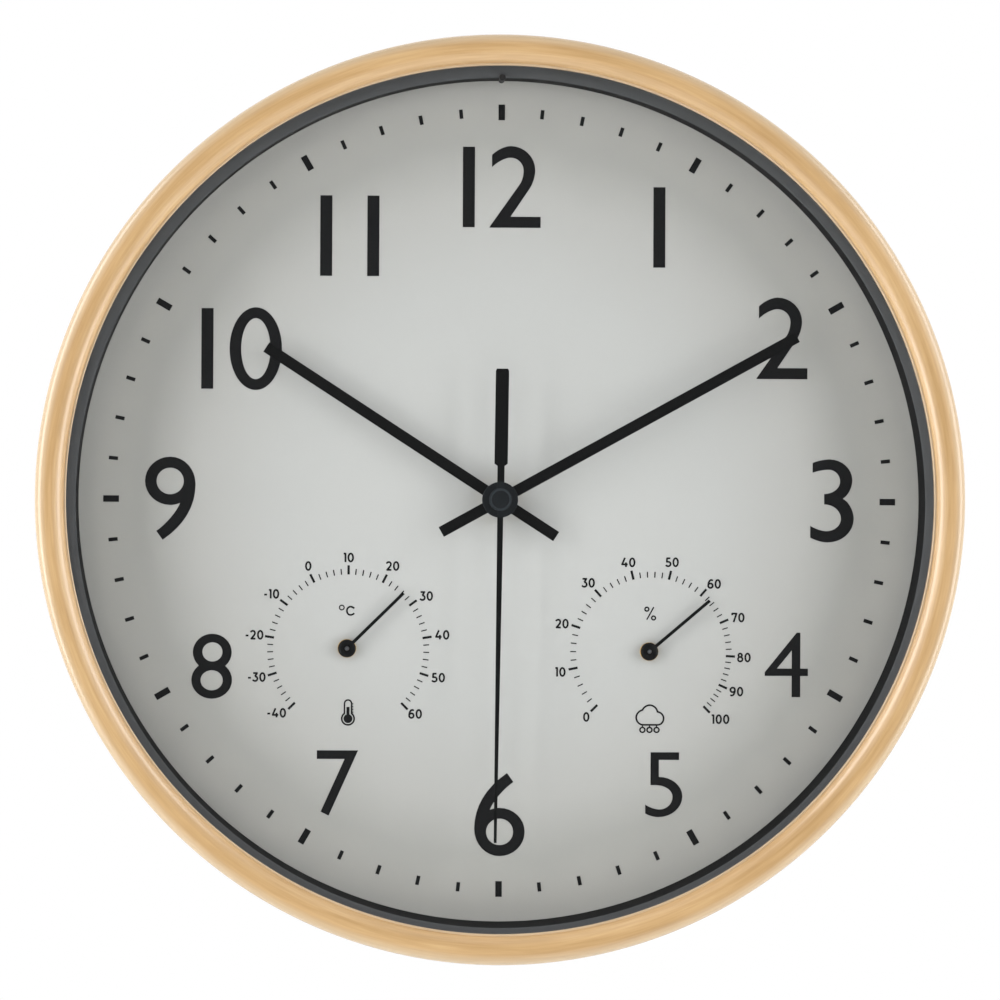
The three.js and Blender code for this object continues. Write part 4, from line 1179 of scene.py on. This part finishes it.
for instrument, rest_angle in (("thermometer", 45.7), ("hygrometer", 49.9)):
    pivot = seen_round(instrument + "_arbor")[0]
    add_pointer(instrument, pivot, rest_angle)
    add_bushing(instrument, pivot)
    add_housing(instrument, pivot)
    dress(plated_steel, instrument + "_arbor")
    dress(bimetal, instrument + "_sensing_coil")


# Back: a ribbed carrier plate moulded in black, held by six screws, and a bracket folded from plated
# steel strip with a keyhole for the nail, on two posts.
def eased(ending, node, finish, slot, width):
    """The shape of a frame node with its edges rounded, which then stands for the node."""
    shape = bmesh.new()
    shape.from_mesh(cad_nodes[node].data)
    weld_seams(shape)
    flat_panels(shape)
    body = next(name for name, nodes in frame["record"]["behaviour"]["bodies"].items() if node in nodes)
    ease_edges(add_piece(f"{node}_{ending}", shape, finish, body, slot, node), width)


eased("moulding", "back_plate", back_plastic, "back_plastic", 0.00025)
eased("strip", "hanger_bracket", plated_steel, "plated_steel", 0.00025)
back_screws = [f"back_screw_{boss + 1}" for boss in range(boss_count)]
for screw in ("hanger_screw_1", "hanger_screw_2", *back_screws):
    eased("turned", screw, plated_steel, "plated_steel", 0.00012)


# Movement: a square black case with a plate in front, a threaded brass neck's nut and washer, a
# stepping motor with its circuit, and a train of white gears.
case_plastic = moulded_plastic("case_plastic", (38, 39, 41), 3, 0.42, 700, 0.00006)
gear_plastic = moulded_plastic("gear_plastic", (228, 225, 212), 4, 0.38, 600, 0.00003)
magnet = turned_metal("rotor_magnet", (92, 93, 98), 0.4, 500)
copper_wire = turned_metal("copper_wire", (196, 118, 66), 0.32, 1500)
board = moulded_plastic("circuit_board", (44, 104, 66), 5, 0.4, 900, 0.00005)
chip = moulded_plastic("chip_epoxy", (28, 29, 31), 2, 0.3, 900, 0.00002)
eased("moulding", "movement_case", case_plastic, "case_plastic", 0.0004)
dress(case_plastic, "movement_plate")
dress(gear_plastic, "intermediate_wheel", "second_wheel", "third_wheel", "centre_wheel",
      "minute_works_wheel", "hour_wheel")
dress(bright_brass, "cannon_pinion", "mounting_nut")
dress(plated_steel, "mounting_washer", "stator", "coil_core", "motor_screw_1", "motor_screw_2",
      "battery_contact_positive", "battery_contact_negative", "quartz_crystal")
dress(magnet, "rotor")
dress(copper_wire, "drive_coil")
dress(board, "circuit_board")
dress(chip, "timing_chip")


# Setting knob: a small thumbwheel with a scalloped edge and a raised button, pressed on the arbor of
# the motion works. The case round it carries moulded marks: an arrow each way, a plus and a minus.
knob_place, knob_radius = seen_round("setting_knob")
knob_rear, knob_front = depths("setting_knob")
scallops = 18
scallop_depth = 0.00035
scallop_steps = 6
knob_bore = 0.0009
button_radius = 0.0026
button_height = 0.00035
knob_edge = []
for step in range(scallops * scallop_steps):
    angle = step / (scallops * scallop_steps) * math.tau
    radius = knob_radius - scallop_depth * (1 - math.cos(scallops * angle)) / 2
    knob_edge.append((knob_place[0] + radius * math.sin(angle), knob_place[1] + radius * math.cos(angle)))
knob = bmesh.new()
bore_edge = oval(knob_place, knob_bore, knob_bore)
sheet(knob, [knob_edge], [bore_edge], knob_rear + button_height, knob_front)
flat_panels(knob)
turn(knob, traced([
    (0, knob_rear + button_height * 2),
    (button_radius, knob_rear + button_height * 2),
    (button_radius, knob_rear + button_height / 2),
    ((button_radius, knob_rear), (button_radius - button_height, knob_rear)),
    (button_radius / 2, knob_rear),
    ((button_radius / 4, knob_rear + button_height / 2), (0, knob_rear + button_height / 2)),
]), 40, knob_place)
knob_piece = add_piece(
    "setting_knob_wheel", knob, case_plastic, "setting_works", "case_plastic", "setting_knob"
)
ease_edges(knob_piece, edge_ease)

mark_height = 0.0002
mark_line = 0.5
arrow_gap = 3.2
arrow_sweep = 60
arrow_steps = 10
arrow_head = 2.2
sign_arm = 1.4
sign_rise = 2.6
sign_inset = 7
cell_low, cell_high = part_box("battery")
case_rear = depths("movement_case")[0]
arrow_radius = knob_radius / MM + arrow_gap
marks = bmesh.new()
for side in (-1, 1):
    arc = []
    for step in range(arrow_steps + 1):
        angle = math.radians(side * (90 - arrow_sweep * (step / arrow_steps - 0.5)))
        arc.append((arrow_radius * math.sin(angle), arrow_radius * math.cos(angle)))
    heading = -side * arrow_sweep / 2
    tip = moved([(-arrow_head / 2, 0), (arrow_head / 2, 0), (0, arrow_head)], *arc[-1], clockwise=heading)
    arrow = [moved(moved(outline, scale=MM), *knob_place) for outline in (*line(arc, mark_line), tip)]
    sheet(marks, arrow, [], case_rear - mark_height, case_rear)
arm = bar(mark_line, -sign_arm, sign_arm)
sign_height = cell_high.z / MM + sign_rise
for sign_across, turns in ((cell_high.x / MM - sign_inset, (0, 90)), (cell_low.x / MM + sign_inset, (90,))):
    arms = [moved(moved(arm, sign_across, sign_height, clockwise), scale=MM) for clockwise in turns]
    sheet(marks, arms, [], case_rear - mark_height, case_rear)
worn_plastic = moulded_plastic("worn_plastic", (104, 105, 107), 6, 0.4, 700, 0.00003)
add_piece("movement_marks", marks, worn_plastic, "case", "case_plastic")


# Battery: one cell, its steel can rolled in at the ends and wrapped in a printed film that leaves the
# cap and its nub bare. It lies level in the bay.
cell_radius = (cell_high.z - cell_low.z) / 2
cell_length = cell_high.x - cell_low.x
film_edge = 0.0008
film_step = 0.00025
shoulder_round = 0.0009
cap_share = 0.62
nub_radius = 0.0027
nub_length = 0.0012
nub_round = 0.0004
base_share = 0.66
base_dish = 0.0003
can_radius = cell_radius - film_step
can_top = cell_length - nub_length
cap_radius = cell_radius * cap_share
base_radius = cell_radius * base_share
cell = bmesh.new()
turn(cell, traced([
    (0, wall + base_dish),
    (base_radius, wall + base_dish),
    (base_radius + base_dish, wall),
    (can_radius - shoulder_round, wall),
    ((can_radius, wall), (can_radius, wall + film_edge)),
    (cell_radius, wall + film_edge),
    (cell_radius, wall + can_top - shoulder_round),
    ((cell_radius, wall + can_top), (cell_radius - shoulder_round, wall + can_top)),
    (cap_radius, wall + can_top),
    (cap_radius, wall + can_top - film_step),
    (nub_radius, wall + can_top - film_step),
    (nub_radius, wall + cell_length - nub_round),
    ((nub_radius, wall + cell_length), (nub_radius - nub_round, wall + cell_length)),
    (0, wall + cell_length),
]), 64)
laid = Matrix(((0, -1, 0), (1, 0, 0), (0, 0, 1)))
cell_centre = (cell_low + cell_high) / 2
bmesh.ops.transform(cell, matrix=laid.to_4x4(), verts=cell.verts)
bmesh.ops.translate(cell, verts=cell.verts, vec=(cell_low.x, cell_centre.y, cell_centre.z))


def cell_jacket(low_end, high_end):
    """Printed film over a steel can: dark, with a copper-coloured band at the cap's end."""
    finish = material("cell_jacket")
    band_length = 0.0145
    across = place_in(finish)[0]
    film = finish.noise(300, 2)
    scuffs = finish.noise(1400, 3)
    band = across > high_end - band_length
    bare = (across < low_end + film_edge) + (across > high_end - film_step / 2)
    printed_film = finish.ramp(
        band * 0.8 + film * 0.2,
        (0.05, paint(34, 37, 44)),
        (0.15, paint(42, 46, 54)),
        (0.85, paint(176, 128, 78)),
        (0.95, paint(190, 142, 90)),
    )
    return surface(
        finish,
        Base_Color=blend(bare, printed_film, paint(200, 202, 205)),
        Metallic=0.45 + bare * 0.5,
        Roughness=0.24 + film * 0.08 + scuffs * 0.08,
    )


jacket = cell_jacket(cell_low.x, cell_low.x + can_top)
add_piece("battery_cell_can", cell, jacket, "battery_cell", "cell_jacket", "battery", sharp=30)
